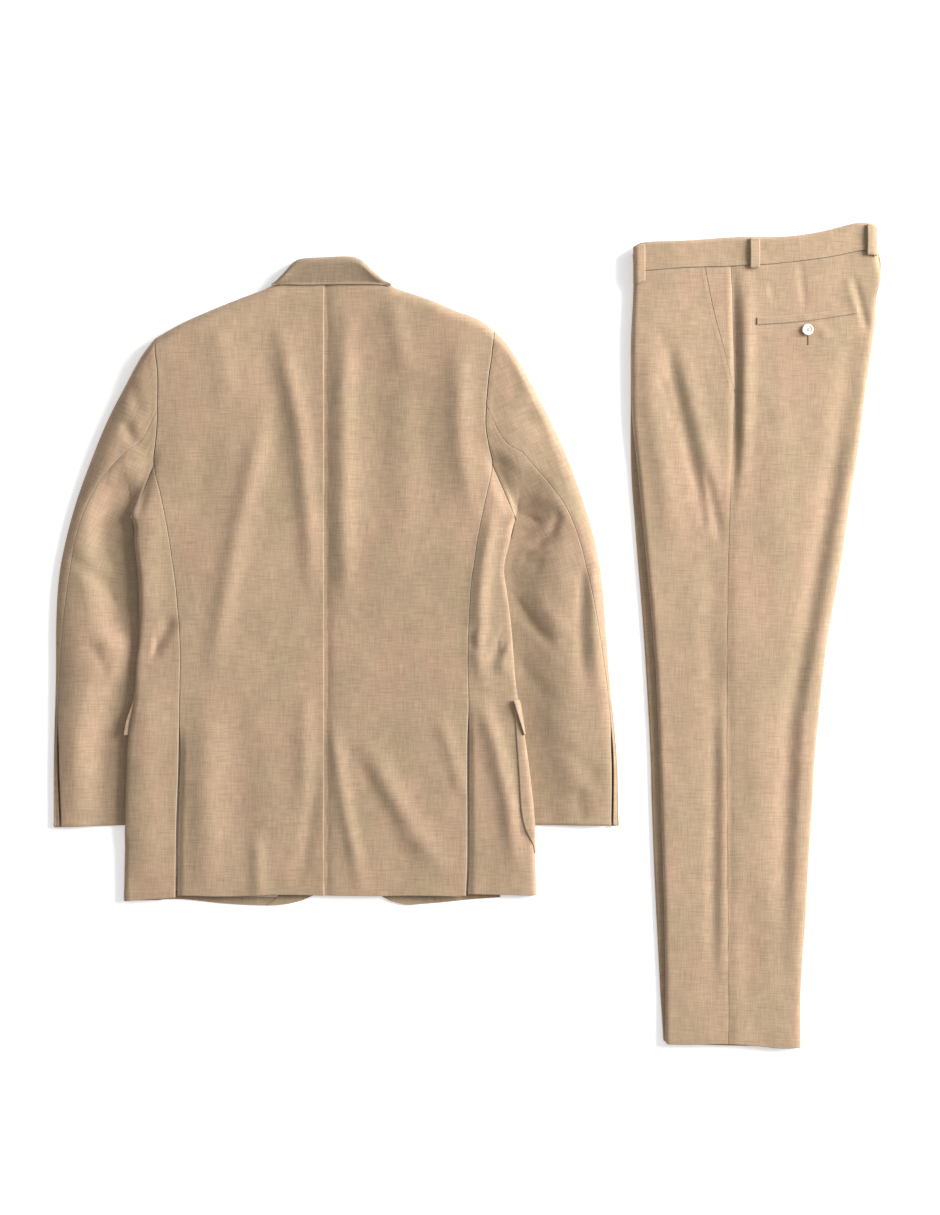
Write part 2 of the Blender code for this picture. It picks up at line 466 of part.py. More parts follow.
class HalfJacket:
    """One half of the jacket: its body, its sleeve, and the heights that they share."""

    def __init__(self, side):
        self.side = side
        self.sign = -1 if side == "left" else 1
        self.corner = BACK_CORNER[side]
        self.underarm = UNDERARM[side]
        self.shoulder_point = (SHOULDER_LINE[side][-1][0], SHOULDER_LINE[side][-1][1])

    def place(self, out, up, height):
        """A point from its distance out from centre back."""
        return Vector((self.sign * out, up, height))

    def edge(self, up):
        """Distance out to the body's side fold."""
        return along(BODY_EDGE[self.side], up)

    def back_edge(self, up):
        """Distance out to the back's side seam and, above it, its armhole."""
        return along(BACK_EDGE[self.side], up)

    def shoulder(self, out):
        """How far up the shoulder fold is."""
        return along(SHOULDER_LINE[self.side], out)

    def side_lift(self, up):
        """1 where the body's edge lies on the sleeve, 0 elsewhere."""
        return window(up, *LIFT_ROWS)

    def side_mid(self, up):
        """Height of the body's side fold."""
        return lerp(SIDE_MID, SIDE_LIFT + 3.0, self.side_lift(up))

    def top(self, out, up):
        """Height of the body's upper side."""
        share = smooth(out / BACK_FULL_OUT)
        height = lerp(along(BACK_HEIGHTS, up, 1), along(BACK_HEIGHTS, up, 2), share)
        height += relief(BODY_FOLDS, self.sign * out, up)
        side = self.side_mid(up)
        height = side + (height - side) * quarter((self.edge(up) - out) / SIDE_ROLL)
        fold = SHOULDER_MID + SEAM
        return fold + (height - fold) * quarter((self.shoulder(out) - up) / SHOULDER_ROLL)

    def under(self, x, up):
        """Height of the body's underside at a real x."""
        out = self.sign * x
        in_from_edge = self.edge(up) - out
        start, end = LIFT_REACH
        lift = SIDE_LIFT * self.side_lift(up) * (1 - smooth((in_from_edge - start) / (end - start)))
        start, end = POCKET_LIFT_REACH
        near_side = 1 - smooth((in_from_edge - start) / (end - start))
        pocket = 2 * LAYER * window(up, *POCKET_LIFT_ROWS) * near_side
        zone_start, zone_full, reach_end, reach_full = LAPEL_ZONE
        in_from_roll = out - self.sign * along(FRONT_EDGE[self.side], up)
        lapel = LAYER * smooth((up - zone_start) / (zone_full - zone_start))
        lapel *= 1 - smooth((in_from_roll - reach_full) / (reach_end - reach_full))
        height = max(lift, pocket, lapel)
        if self.side == "right":
            start, end = FRONT_OVERLAP
            level_start, level_end = OVERLAP_ROWS
            across = 1 - smooth((x - start) / (end - start))
            level = 1 - smooth((up - level_start) / (level_end - level_start))
            height += (LAYER + THIN_CLOTH + 2 * GAP) * across * level
        side = self.side_mid(up)
        height += (side - height) * (1 - quarter(in_from_edge / SIDE_UNDER_ROLL))
        fold = SHOULDER_MID - SEAM
        return height + (fold - height) * (1 - quarter((self.shoulder(out) - up) / SHOULDER_ROLL))

    def back(self, row, station):
        """The back, from centre seam to side seam and armhole, hem to shoulder."""
        outer_up = climb(row, along(PANEL_HEM[self.side], BACK_CORNER_OUT), self.shoulder_point[1], EVEN_BACK)
        out = lerp(SEAM, self.back_edge(outer_up) - SEAM, station)
        top_out = lerp(SEAM, self.shoulder_point[0] - SEAM, station)
        up = climb(row, along(PANEL_HEM[self.side], out), self.shoulder(top_out), EVEN_BACK)
        return self.place(out, up, self.top(out, up))

    def side_panel(self, row, station):
        """The side panel: stations 0 to 1 on the upper side, 1 to 2 on the underside."""
        if station <= 1:
            top = lerp(self.corner[1], self.underarm[1], station)
            near, hem_near = self.back_edge, along(PANEL_HEM[self.side], SIDE_CORNER_OUT[0])
        else:
            top = lerp(self.underarm[1], FRONT_ARMHOLE[self.side][0][0], station - 1)
            near, hem_near = self.under_seam, along(PANEL_HEM[self.side], SIDE_CORNER_OUT[1])
        share = station if station <= 1 else 2 - station
        hem = lerp(hem_near, PANEL_HEM[self.side][-1][1], share)
        up = climb(row, hem, top - SEAM, EVEN_SIDE)
        near_top = self.corner[1] if station <= 1 else FRONT_ARMHOLE[self.side][0][0]
        near_up = climb(row, hem_near, near_top, EVEN_SIDE)
        edge_up = climb(row, PANEL_HEM[self.side][-1][1], self.underarm[1], EVEN_SIDE)
        out = lerp(near(near_up) + SEAM, self.edge(edge_up), share)
        if station <= 1:
            return self.place(out, up, self.top(out, up))
        return self.place(out, up, self.under(self.sign * out, up))

    def under_seam(self, up):
        """Distance out to the seam between side panel and front, on the underside."""
        top, top_out = FRONT_ARMHOLE[self.side][0]
        return lerp(self.edge(0) - SIDE_PANEL_UNDER, top_out, up / top)

    def front_outer(self, up):
        """Distance out to the front's side seam and, above it, its armhole."""
        first = FRONT_ARMHOLE[self.side][0][0]
        return self.under_seam(up) if up < first else along(FRONT_ARMHOLE[self.side], up)

    def around(self, up, station):
        """A point of the body at a distance up: the side panel's stations, and from 2 on the front's."""
        if station > 2:
            x = lerp(self.sign * (self.front_outer(up) - SEAM), along(FRONT_EDGE[self.side], up), station - 2)
            return Vector((x, up, self.under(x, up)))
        near = self.back_edge if station <= 1 else self.under_seam
        out = lerp(near(up) + SEAM, self.edge(up), station if station <= 1 else 2 - station)
        height = self.top(out, up) if station <= 1 else self.under(self.sign * out, up)
        return self.place(out, up, height)

    def front(self, row, station):
        """The front, on the underside, from side seam and armhole to its edge or roll line."""
        outer_hem = along(FRONT_HEM[self.side], self.sign * FRONT_CORNER_OUT)
        outer_up = climb(row, outer_hem, self.shoulder_point[1], EVEN_BACK)
        edge_hem = FRONT_HEM[self.side][-1 if self.side == "left" else 0][1]
        neck_up = self.shoulder(NECK_OUT[self.side])
        edge_up = climb(row, edge_hem, neck_up, EVEN_BACK)
        front_edge = FRONT_EDGE[self.side]
        x = lerp(self.sign * (self.front_outer(outer_up) - SEAM), along(front_edge, edge_up), station)
        hem_x = lerp(self.sign * self.under_seam(0), along(front_edge, edge_hem), station)
        top_out = lerp(self.shoulder_point[0] - SEAM, self.sign * along(front_edge, neck_up), station)
        up = climb(row, along(FRONT_HEM[self.side], hem_x), self.shoulder(top_out), EVEN_BACK)
        return Vector((x, up, self.under(x, up)))

    def on_underside(self, left_edge, right_edge):
        """A surface on the underside between two edges, each an x for a distance up.

        Its rows are distances up, and its stations run from the side to the middle.
        """
        def surface(up, station):
            x = lerp(left_edge(up), right_edge(up), station)
            return Vector((x, up, self.under(x, up)))
        return surface

    def armhole(self, share, upper):
        """Point of the armhole from the shoulder (0) to the underarm (1), on its upper or lower side."""
        up = lerp(self.shoulder_point[1], self.underarm[1], share)
        if upper:
            corner = self.corner
            out = self.back_edge(up)
        else:
            corner = (FRONT_ARMHOLE[self.side][0][1], FRONT_ARMHOLE[self.side][0][0])
            out = along(FRONT_ARMHOLE[self.side], up)
        if up < corner[1]:
            t = (corner[1] - up) / (corner[1] - self.underarm[1])
            out = lerp(corner[0], self.underarm[0], t)
        height = self.top(out, up) if upper else self.under(self.sign * out, up)
        return Vector((out, up, height))

    def sleeve_row(self, row):
        """Outer and inner ends of a sleeve row, and the sleeve's thickness there."""
        table = SLEEVE_ROWS[self.side]
        outer = Vector((along(table, row, 1), along(table, row, 2)))
        inner_up = along(table, row, 3)
        return outer, Vector((self.edge(inner_up) - along(TUCK, inner_up), inner_up)), along(table, row, 4)

    def sleeve(self, row, station):
        """The sleeve: stations 0 to 1 on the upper side from outer to inner edge, 1 to 2 back below."""
        station %= 2
        upper = station <= 1
        share = station if upper else 2 - station
        outer, inner, thick = self.sleeve_row(row)
        outer0, inner0, _ = self.sleeve_row(0)
        seam = self.armhole(share, upper)
        chord = lerp(outer0, inner0, share)
        fade = max(0.0, 1 - row / 0.12)
        flat = lerp(outer, inner, share) + (seam.xy - chord) * fade
        flat.x += ARMHOLE_SHIFT * fade
        length = (inner - outer).length
        from_outer, from_inner = share * length, (1 - share) * length
        if upper:
            x, up = self.sign * flat.x, flat.y
            rise = smooth((from_inner - INNER_FLAT) / INNER_RISE)
            height = lerp(SLEEVE_EDGE, thick + relief(SLEEVE_FOLDS, x, up), rise)
            height = SLEEVE_MID + (height - SLEEVE_MID) * quarter(from_outer / SLEEVE_ROLL)
            height = SLEEVE_EDGE / 2 + (height - SLEEVE_EDGE / 2) * quarter(from_inner / (SLEEVE_EDGE / 2))
        else:
            height = SLEEVE_MID * (1 - quarter(from_outer / SLEEVE_UNDER_ROLL))
            height += SLEEVE_EDGE / 2 * (1 - quarter(from_inner / (SLEEVE_EDGE / 2)))
        height = lerp(seam.z, height, smooth(row / 0.15))
        return self.place(flat.x, flat.y, height)

    def elbow(self, row):
        """The elbow seam as a share of the sleeve's width from its outer edge."""
        outer, inner, _ = self.sleeve_row(row)
        return along(ELBOW_SEAM[self.side], row) / (inner - outer).length

    def forearm(self, row):
        """The forearm seam as a station on the sleeve's underside."""
        outer, inner, _ = self.sleeve_row(row)
        return 1 + FOREARM_SEAM / (inner - outer).length


def build_body(scene, half):
    """Back, side panel and front of one half."""
    side, sign = half.side, half.sign
    wall(scene, f"jacket_back_{side}", half.back, BACK_ROWS, spread(0, 1, 11), JACKET_AT, outward=sign)
    wall(scene, f"jacket_side_{side}", half.side_panel, SIDE_ROWS, SIDE_STATIONS, JACKET_AT, outward=sign)
    wall(scene, f"jacket_front_{side}", half.front, FRONT_ROWS, FRONT_STATIONS, JACKET_AT, outward=sign)


def build_sleeve(scene, half):
    """Top sleeve, which wraps the outer edge, and under sleeve, which wraps the inner one."""
    def gap(row):
        outer, inner, _ = half.sleeve_row(row)
        return SEAM / (inner - outer).length

    def top_sleeve(row, t):
        if t <= 1:
            station = lerp(half.forearm(row) + gap(row), 2.0, t)
        else:
            station = lerp(2.0, 2.0 + half.elbow(row) - gap(row), t - 1)
        point = half.sleeve(row, station)
        if t > 1:
            point.z -= VENT_STEP * smooth((row - VENT_START + 0.02) / 0.02) * smooth((t - 1) / 0.4)
        return point

    def under_sleeve(row, t):
        if t <= 1:
            return half.sleeve(row, lerp(half.elbow(row) + gap(row), 1.0, t))
        return half.sleeve(row, lerp(1.0, half.forearm(row) - gap(row), t - 1))

    side, sign = half.side, half.sign
    wall(scene, f"top_sleeve_{side}", top_sleeve, SLEEVE_STEPS, TOP_SLEEVE_STATIONS, JACKET_AT, outward=sign)
    wall(scene, f"under_sleeve_{side}", under_sleeve, SLEEVE_STEPS, UNDER_SLEEVE_STATIONS, JACKET_AT,
         outward=sign)


def build_collar(scene, halves):
    """The collar: its fall lies over the back, rolls over at the top and turns in as the stand."""
    def surface(x, station):
        """Stations 0 to 1 from the fall's free edge to the roll, 1 to 2 down the stand."""
        half = halves["left" if x < 0 else "right"]
        roll, fall = along(COLLAR_ROLL, x), along(COLLAR_FALL, x)
        neck = half.shoulder(abs(x))
        read_below, end_below, least = COLLAR_TUCK
        if station <= 1:
            down = (roll - fall) * (1 - station)
            up = roll - down
            height = COLLAR_MID + (COLLAR_HEIGHT - COLLAR_MID) * quarter(down / COLLAR_STEPS[0])
            over = half.top(abs(x), min(up, neck - read_below)) + LAYER + COLLAR_CLEAR
            blend = smooth((neck + COLLAR_BLEND[0] - up) / COLLAR_BLEND[1])
            return Vector((x, up, lerp(height, max(height, over), blend)))
        down = max(least, roll - neck - end_below) * (station - 1)
        height = COLLAR_MID - COLLAR_DEPTH * quarter(down / COLLAR_STEPS[1])
        return Vector((x, roll - down, height))

    rows = spread(COLLAR_ROLL[0][0] + 0.5, COLLAR_ROLL[-1][0] - 0.5, 12)
    wall(scene, "collar", surface, rows, COLLAR_STATIONS, JACKET_AT, outward=-1)


def build_fronts(scene, half):
    """Lapel, collar end, facing and lining of one half, all on the front."""
    side, sign = half.side, half.sign

    def roll_line(up):
        return along(FRONT_EDGE[side], up)

    def strip(name, rows, near, far, count, **options):
        """A piece on the underside from a near x by the body's side to a far x by the middle."""
        surface = half.on_underside(near, far)
        wall(scene, f"{name}_{side}", surface, rows, spread(0, 1, count), JACKET_AT, outward=sign, **options)

    inside = dict(thickness=THIN_CLOTH, outward=sign, raised=-LAYER)
    rows = [row for row in FRONT_ROWS if row < FACING_TOP / EVEN_BACK]
    stations = [station for station in FRONT_STATIONS if station >= FACING_SEAM]
    wall(scene, f"facing_{side}", half.front, rows, stations, JACKET_AT, **inside)
    stations = [station for station in FRONT_STATIONS if station < FACING_SEAM] + [FACING_SEAM - FACING_GAP]
    wall(scene, f"lining_{side}", half.front, rows[1:], stations, JACKET_AT, "lining", **inside)
    strip("lapel", spread(463, 592, 5) + [611, 629], lambda up: roll_line(up) + sign * along(LAPEL_WIDTH, up),
          lambda up: roll_line(up) + sign * SEAM, 4, raised=LAYER)
    strip("collar_end", spread(646, 740, 4), lambda up: roll_line(up) + sign * along(COLLAR_END_WIDTH, up),
          lambda up: roll_line(up) + sign * SEAM, 3, raised=LAYER)


def build_pocket(scene, half):
    """A patch pocket on the front, and its flap; on the right they come round the side fold."""
    side, sign = half.side, half.sign
    on_front = [2 + station for station in FRONT_STATIONS if station < 0.6]
    if side == "right":
        stations = [0.83] + [station for station in SIDE_STATIONS if 0.83 < station < 2] + on_front
    else:
        stations = [1.17, FLAP_FREE, 1.6] + on_front
    wall(scene, f"patch_pocket_{side}", half.around, POCKET_STEPS, stations, JACKET_AT, outward=sign,
         raised=LAYER)

    def flap(up, station):
        """The left flap stays flat out past the body's edge."""
        if side == "right" or station >= FLAP_FREE:
            return half.around(up, station)
        flat = half.around(up, FLAP_FREE)
        tip = half.edge(up) + FLAP_OUT * smooth((FLAP_ROWS[1] - up) / FLAP_SPRING)
        flat.x -= (tip + flat.x) * (FLAP_FREE - station)
        return flat

    stations = [0.8] + stations if side == "right" else [0.3, 0.8, FLAP_FREE, 1.6] + on_front
    wall(scene, f"pocket_flap_{side}", flap, FLAP_STEPS, stations, JACKET_AT, outward=sign, raised=2 * LAYER)


def build_jacket(scene):
    """Every piece of the jacket."""
    halves = {side: HalfJacket(side) for side in ("left", "right")}
    for half in halves.values():
        build_body(scene, half)
        build_sleeve(scene, half)
        build_fronts(scene, half)
        build_pocket(scene, half)
    build_collar(scene, halves)


class Trousers:
    """The folded trousers: heights and edges that their pieces share."""

    def height(self, x, up):
        """Height of the upper leg's outside, before its creases."""
        return along(LEG_HEIGHTS, up) + relief(LEG_FOLDS, x, up)

    def rounded(self, x, up):
        """The same, brought down at the creases and at the waistband's top edge."""
        left = quarter((x - along(UPPER_CREASE, up)) / LEG_ROLL)
        right = quarter((along(BACK_CREASE, up) - x) / LEG_ROLL)
        top = quarter((along(WAIST_TOP, x) - up) / WAIST_ROLL)
        return LEG_MID + (self.height(x, up) - LEG_MID) * left * right * top

    def hem(self, row, x, top):
        """How far up a row is between the hem and a top edge."""
        return climb(row, along(LEG_HEM, x), top, EVEN_LEG)

    def lip(self, x, up, round_by):
        """A point just under a crease, round_by degrees below its middle; x is the crease's."""
        outward = 1 if x > 0 else -1
        angle = math.radians(round_by)
        in_by, below = LEG_LIP * (1 - math.cos(angle)), LEG_LIP * math.sin(angle)
        return Vector((x - outward * in_by, up, LEG_MID - below))

    def front_edge(self, up):
        """The front panel's edge: the side seam, and above it the pocket's slant."""
        return min(along(SIDE_SEAM, up), along(POCKET_SLANT, up)) - SEAM

    def panel(self, inner, crease, sign):
        """A leg panel from an inner edge (0) to its crease (1) and under it (1 to 2)."""
        def surface(row, station):
            share = min(station, 1.0)
            crease_up = climb(row, along(LEG_HEM, sign * 85), along(WAIST_SEAM, sign * 115) - SEAM, EVEN_LEG)
            near_up = climb(row, 0.5, along(WAIST_SEAM, 0) - SEAM, EVEN_LEG)
            far = crease(crease_up)
            x = lerp(inner(near_up), far, share)
            up = self.hem(row, x, along(WAIST_SEAM, x) - SEAM)
            if station > 1:
                return self.lip(far, up, 80 * (station - 1))
            return Vector((x, up, self.rounded(x, up)))
        return surface

    def waistband(self, row, station):
        """The waistband from its seam up and over its top edge, front crease to back crease."""
        seam_up, top_up = (lambda x: along(WAIST_SEAM, x)), (lambda x: along(WAIST_TOP, x))
        share = min(1.0, max(0.0, station))
        x = lerp(along(UPPER_CREASE, WAIST_MIDDLE), along(BACK_CREASE, WAIST_MIDDLE), share)
        up = lerp(seam_up(x) + SEAM, top_up(x), row)
        ends = along(UPPER_CREASE, up), along(BACK_CREASE, up)
        x = lerp(ends[0], ends[1], share)
        height = self.rounded(x, up)
        step = WAISTBAND_STEP * quarter((top_up(x) - up) / WAIST_ROLL)
        inside = smooth((x - ends[0]) / WAIST_ENDS) * smooth((ends[1] - x) / WAIST_ENDS)
        return Vector((x, up, height + step * inside))


def build_panels(scene, legs):
    """The two panels of the upper leg, and the pocket's facing between them."""
    rows = [0, 0.03] + spread(0.08, 0.6, 8) + spread(0.64, 1, 11)
    front = legs.panel(legs.front_edge, lambda up: along(UPPER_CREASE, up), -1)
    wall(scene, "trouser_front", front, rows, LEG_STATIONS, TROUSERS_AT, outward=-1)
    back = legs.panel(lambda up: along(SIDE_SEAM, up) + SEAM, lambda up: along(BACK_CREASE, up), 1)
    wall(scene, "trouser_back", back, rows, LEG_STATIONS, TROUSERS_AT)
    low, high = FACING_ROWS

    def facing(up, station):
        """The facing in the pocket's mouth, with its top row at the waist seam."""
        near = along(POCKET_SLANT, up) + SEAM
        x = lerp(near, along(SIDE_SEAM, up) - SEAM, station)
        level = lerp(low, along(WAIST_SEAM, x) - SEAM, (up - low) / (high - low))
        return Vector((x, level, legs.rounded(x, level) - FACING_SINK))

    rows = spread(low, high, 8)
    wall(scene, "pocket_facing", facing, rows, [0, 0.5, 1], TROUSERS_AT, thickness=FACING_CLOTH)


def build_inside(scene, legs):
    """The hidden layers as one solid: the lower leg, and the upper leg's inside, with a groove between."""
    def section(row):
        """Outline across the leg: x and height, with no height where it follows the upper leg."""
        low, upper, back = along(LOWER_CREASE, row), along(UPPER_CREASE, row), along(BACK_CREASE, row)
        points = [(back - x, z) for x, z in UNDER_BACK_EDGE]
        points += [(lerp(back - INSIDE_IN, upper + INSIDE_IN, share), None) for share in spread(0, 1, 12)]
        points += [(upper + x, z) for x, z in UNDER_FRONT_EDGE]
        return points + [(low + x, z) for x, z in LOWER_FRONT_EDGE]

    read_up, bend_from, bend_to, below = INSIDE_TOP
    rows = [0, 40] + spread(120, 600, 6) + spread(660, 965, 7) + [bend_to]
    points, faces = [], []
    for row in rows:
        for x, z in section(row):
            waist = row + along(WAIST_TOP, x) - bend_to - below
            up = lerp(row, waist, smooth((row - bend_from) / (bend_to - bend_from)))
            if row < HEM_CLEAR[1]:
                up = row + along(LEG_HEM, x) + HEM_CLEAR[0]
            if z is None:
                z = max(INSIDE_LOW, legs.height(x, min(up, read_up)) - INSIDE_CLEAR)
            points.append(Vector((x, up, z)))
    count = len(points) // len(rows)
    for i in range(len(rows) - 1):
        for j in range(count):
            k = (j + 1) % count
            faces.append(((i + 1) * count + j, (i + 1) * count + k, i * count + k, i * count + j))
    faces.append(tuple(range(count)))
    faces.append(tuple((len(rows) - 1) * count + j for j in reversed(range(count))))
    scene.add("trouser_layers", points, faces, "suiting", TROUSERS_AT)


def build_loops(scene, legs):
    """The belt loops, which stand a little off the waistband between their ends."""
    first, last = along(UPPER_CREASE, WAIST_MIDDLE), along(BACK_CREASE, WAIST_MIDDLE)
    for name, left, right, drop in BELT_LOOPS:
        def loop(up, station):
            """From below the waistband's seam (0) to its top edge (1)."""
            x = lerp(left, right, station)
            middle = (left + right) / 2
            top, low = along(WAIST_TOP, middle) - LOOP_TOP, along(WAIST_SEAM, middle) - drop
            level = lerp(low, top, up) + (along(WAIST_TOP, x) - along(WAIST_TOP, middle)) * LOOP_SLANT
            step = WAISTBAND_STEP * smooth((x - first) / (last - first) / 0.02)
            return Vector((x, level, legs.rounded(x, level) + step + LOOP_RISE * math.sin(math.pi * up)))

        wall(scene, f"belt_loop_{name}", loop, spread(0, 1, 6), spread(0, 1, 3), TROUSERS_AT,
             thickness=THIN_CLOTH, raised=THIN_CLOTH + GAP + LOOP_CLEAR)


def build_welt(scene, legs):
    """The back pocket's welt."""
    def welt(share, station):
        """From its lower (0) to its upper edge (1)."""
        x = lerp(WELT_TOP[0][0], WELT_TOP[-1][0], station)
        up = along(WELT_TOP, x) - WELT_HEIGHT * (1 - share)
        return Vector((x, up, legs.rounded(x, up)))

    wall(scene, "back_welt", welt, [0, 0.5, 1], spread(0, 1, 9), TROUSERS_AT, thickness=THIN_CLOTH,
         raised=WELT_RAISED)


def build_button(scene, legs):
    """The back pocket's button, with a rim and a dished middle."""
    base = legs.rounded(*BUTTON_AT) + GAP + BUTTON_CLEAR
    steps = BUTTON_STEPS
    points = [Vector((*BUTTON_AT, base))]
    for share, rise in BUTTON_PROFILE[1:-1]:
        for n in range(steps):
            turn = math.tau * n / steps
            x, y = math.cos(turn) * share * BUTTON_RADIUS, math.sin(turn) * share * BUTTON_RADIUS
            points.append(Vector((BUTTON_AT[0] + x, BUTTON_AT[1] + y, base + rise * BUTTON_HEIGHT)))
    points.append(Vector((*BUTTON_AT, base + BUTTON_PROFILE[-1][1] * BUTTON_HEIGHT)))
    faces = [(0, 1 + (n + 1) % steps, 1 + n) for n in range(steps)]
    rings = len(BUTTON_PROFILE) - 2
    for ring in range(rings - 1):
        for n in range(steps):
            a, b = 1 + ring * steps + n, 1 + ring * steps + (n + 1) % steps
            faces.append((a, b, b + steps, a + steps))
    last = 1 + (rings - 1) * steps
    faces += [(last + n, last + (n + 1) % steps, len(points) - 1) for n in range(steps)]
    scene.add("back_pocket_button", points, faces, "button", TROUSERS_AT)


def build_trousers(scene):
    """Every piece of the trousers."""
    legs = Trousers()
    build_panels(scene, legs)
    build_inside(scene, legs)
    across = [0, 0.006, 0.018, 0.035] + spread(0.08, 0.92, 12) + [0.965, 0.982, 0.994, 1.0]
    wall(scene, "waistband", legs.waistband, WAIST_ROWS, across, TROUSERS_AT)
    build_loops(scene, legs)
    build_welt(scene, legs)
    build_button(scene, legs)


scene = Scene("Suit")
build_jacket(scene)
build_trousers(scene)
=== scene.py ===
"""Looks of a two-piece suit laid out flat: a jacket with its back up, and folded trousers.

Every size and table is in millimetres, and MM turns it into Blender's metres.
A jacket place is (out from the centre back seam, up from the back hem), and its left is -X.
A trouser place is (across from the side seam, up from the hem).
Each cloth piece is a closed thin shell on the form of its solid, on a finer grid, with its
creases, rolled seams and pressed edges. A piece's UV map is its place on the cloth's grain.
"""

import logging
import math
from dataclasses import dataclass, field
from enum import Enum
from typing import Callable, Optional

import bpy
import numpy as np
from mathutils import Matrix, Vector


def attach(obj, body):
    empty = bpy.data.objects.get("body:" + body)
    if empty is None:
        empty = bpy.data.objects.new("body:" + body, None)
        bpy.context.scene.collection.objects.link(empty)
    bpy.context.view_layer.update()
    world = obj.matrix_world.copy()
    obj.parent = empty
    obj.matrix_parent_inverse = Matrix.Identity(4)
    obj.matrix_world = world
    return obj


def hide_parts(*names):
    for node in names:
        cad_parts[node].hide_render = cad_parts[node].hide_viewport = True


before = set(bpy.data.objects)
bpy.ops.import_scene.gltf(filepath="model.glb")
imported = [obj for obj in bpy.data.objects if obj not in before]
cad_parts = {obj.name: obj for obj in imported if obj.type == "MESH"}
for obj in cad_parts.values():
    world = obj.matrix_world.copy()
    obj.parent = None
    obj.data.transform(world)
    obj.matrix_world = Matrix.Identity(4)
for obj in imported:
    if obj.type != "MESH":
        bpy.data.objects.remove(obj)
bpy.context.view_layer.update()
LOG = logging.getLogger("suit")

Array = np.ndarray
Table = tuple[tuple[float, ...], ...]
Surface = Callable[[Array, Array], Array]
Line = Callable[[Array], Array]

MM = 0.001

CLOTH = 1.5  # thickness of the suiting with what backs it
THIN_CLOTH = 0.9  # of linings, facings and the welt
GAP = 0.3  # free space between two layers
LAYER = CLOTH + GAP
SEAM = 0.1  # each panel stops this short of its seam line
# where each garment's own origin lies
JACKET_AT = (-179.04, -324.38)
TROUSERS_AT = (325.76, -511.58)


class Side(Enum):
    """The jacket's half, named as it lies, with the way out from the centre back."""

    LEFT = -1
    RIGHT = 1

    @property
    def word(self) -> str:
        """The side's name in the names of the pieces."""
        return self.name.lower()


class Slot(Enum):
    """The record's material slots."""

    SUITING = "suiting"
    LINING = "lining"
    BUTTON = "button"


# Soft arithmetic on arrays


def smooth(t: Array) -> Array:
    """0 up to t = 0, 1 from t = 1, with a soft step between."""
    t = np.clip(t, 0.0, 1.0)
    return t * t * (3 - 2 * t)


def quarter(t: Array) -> Array:
    """Rise of a quarter circle, from 0 at t = 0 to 1 at t = 1 and beyond."""
    t = np.clip(t, 0.0, 1.0)
    return np.sqrt(1 - (1 - t) ** 2)


def lerp(a: Array, b: Array, t: Array) -> Array:
    """The value t of the way from a to b."""
    return a + (b - a) * t


def bump(distance: Array, width: float) -> Array:
    """A soft ridge, 1 at a distance of 0 and almost 0 from twice its width."""
    return np.exp(-((distance / width) ** 2))


def window(value: Array, start: float, full: float, full_end: float, end: float) -> Array:
    """1 between full and full_end, 0 outside start and end, soft between."""
    return smooth((value - start) / (full - start)) * smooth((end - value) / (end - full_end))


def fade(value: Array, start: float, end: float) -> Array:
    """1 up to start, 0 from end, soft between."""
    return 1 - smooth((value - start) / (end - start))


def along(table: Table, key: Array, column: int = 1) -> Array:
    """Values of a column at keys in the first column, on a smooth curve through the rows.

    Args:
        table: rows in the order of their first column.
        key: where to read the curve. Outside the table the end rows hold.
        column: the column that is read.

    Returns:
        An array of the shape of key.
    """
    keys = np.array([row[0] for row in table], float)
    values = np.array([row[column] for row in table], float)
    key = np.clip(np.asarray(key, float), keys[0], keys[-1])
    i = np.clip(np.searchsorted(keys, key) - 1, 0, len(keys) - 2)
    before, after = np.maximum(i - 1, 0), np.minimum(i + 2, len(keys) - 1)
    step = keys[i + 1] - keys[i]
    slope0 = (values[i + 1] - values[before]) / (keys[i + 1] - keys[before])
    slope1 = (values[after] - values[i]) / (keys[after] - keys[i])
    t = (key - keys[i]) / step
    start = values[i] * (1 + 2 * t) * (1 - t) ** 2 + slope0 * step * t * (1 - t) ** 2
    return start + values[i + 1] * t * t * (3 - 2 * t) + slope1 * step * t * t * (t - 1)


def spread(first: float, last: float, count: int) -> list[float]:
    """Numbers at even steps from first to last, count steps in all."""
    return list(np.linspace(first, last, count + 1))


def climb(row: Array, hem: Array, top: Array, even: float) -> Array:
    """How far up a row is: level rows with even spacing, bent to the hem and the top edge."""
    return even * row + hem * (1 - smooth(row / 0.1)) + (top - even) * smooth((row - 0.65) / 0.35)


def points_of(x: Array, y: Array, z: Array) -> Array:
    """Points from their three coordinates, which may differ in shape."""
    return np.stack(np.broadcast_arrays(x, y, z), axis=-1)


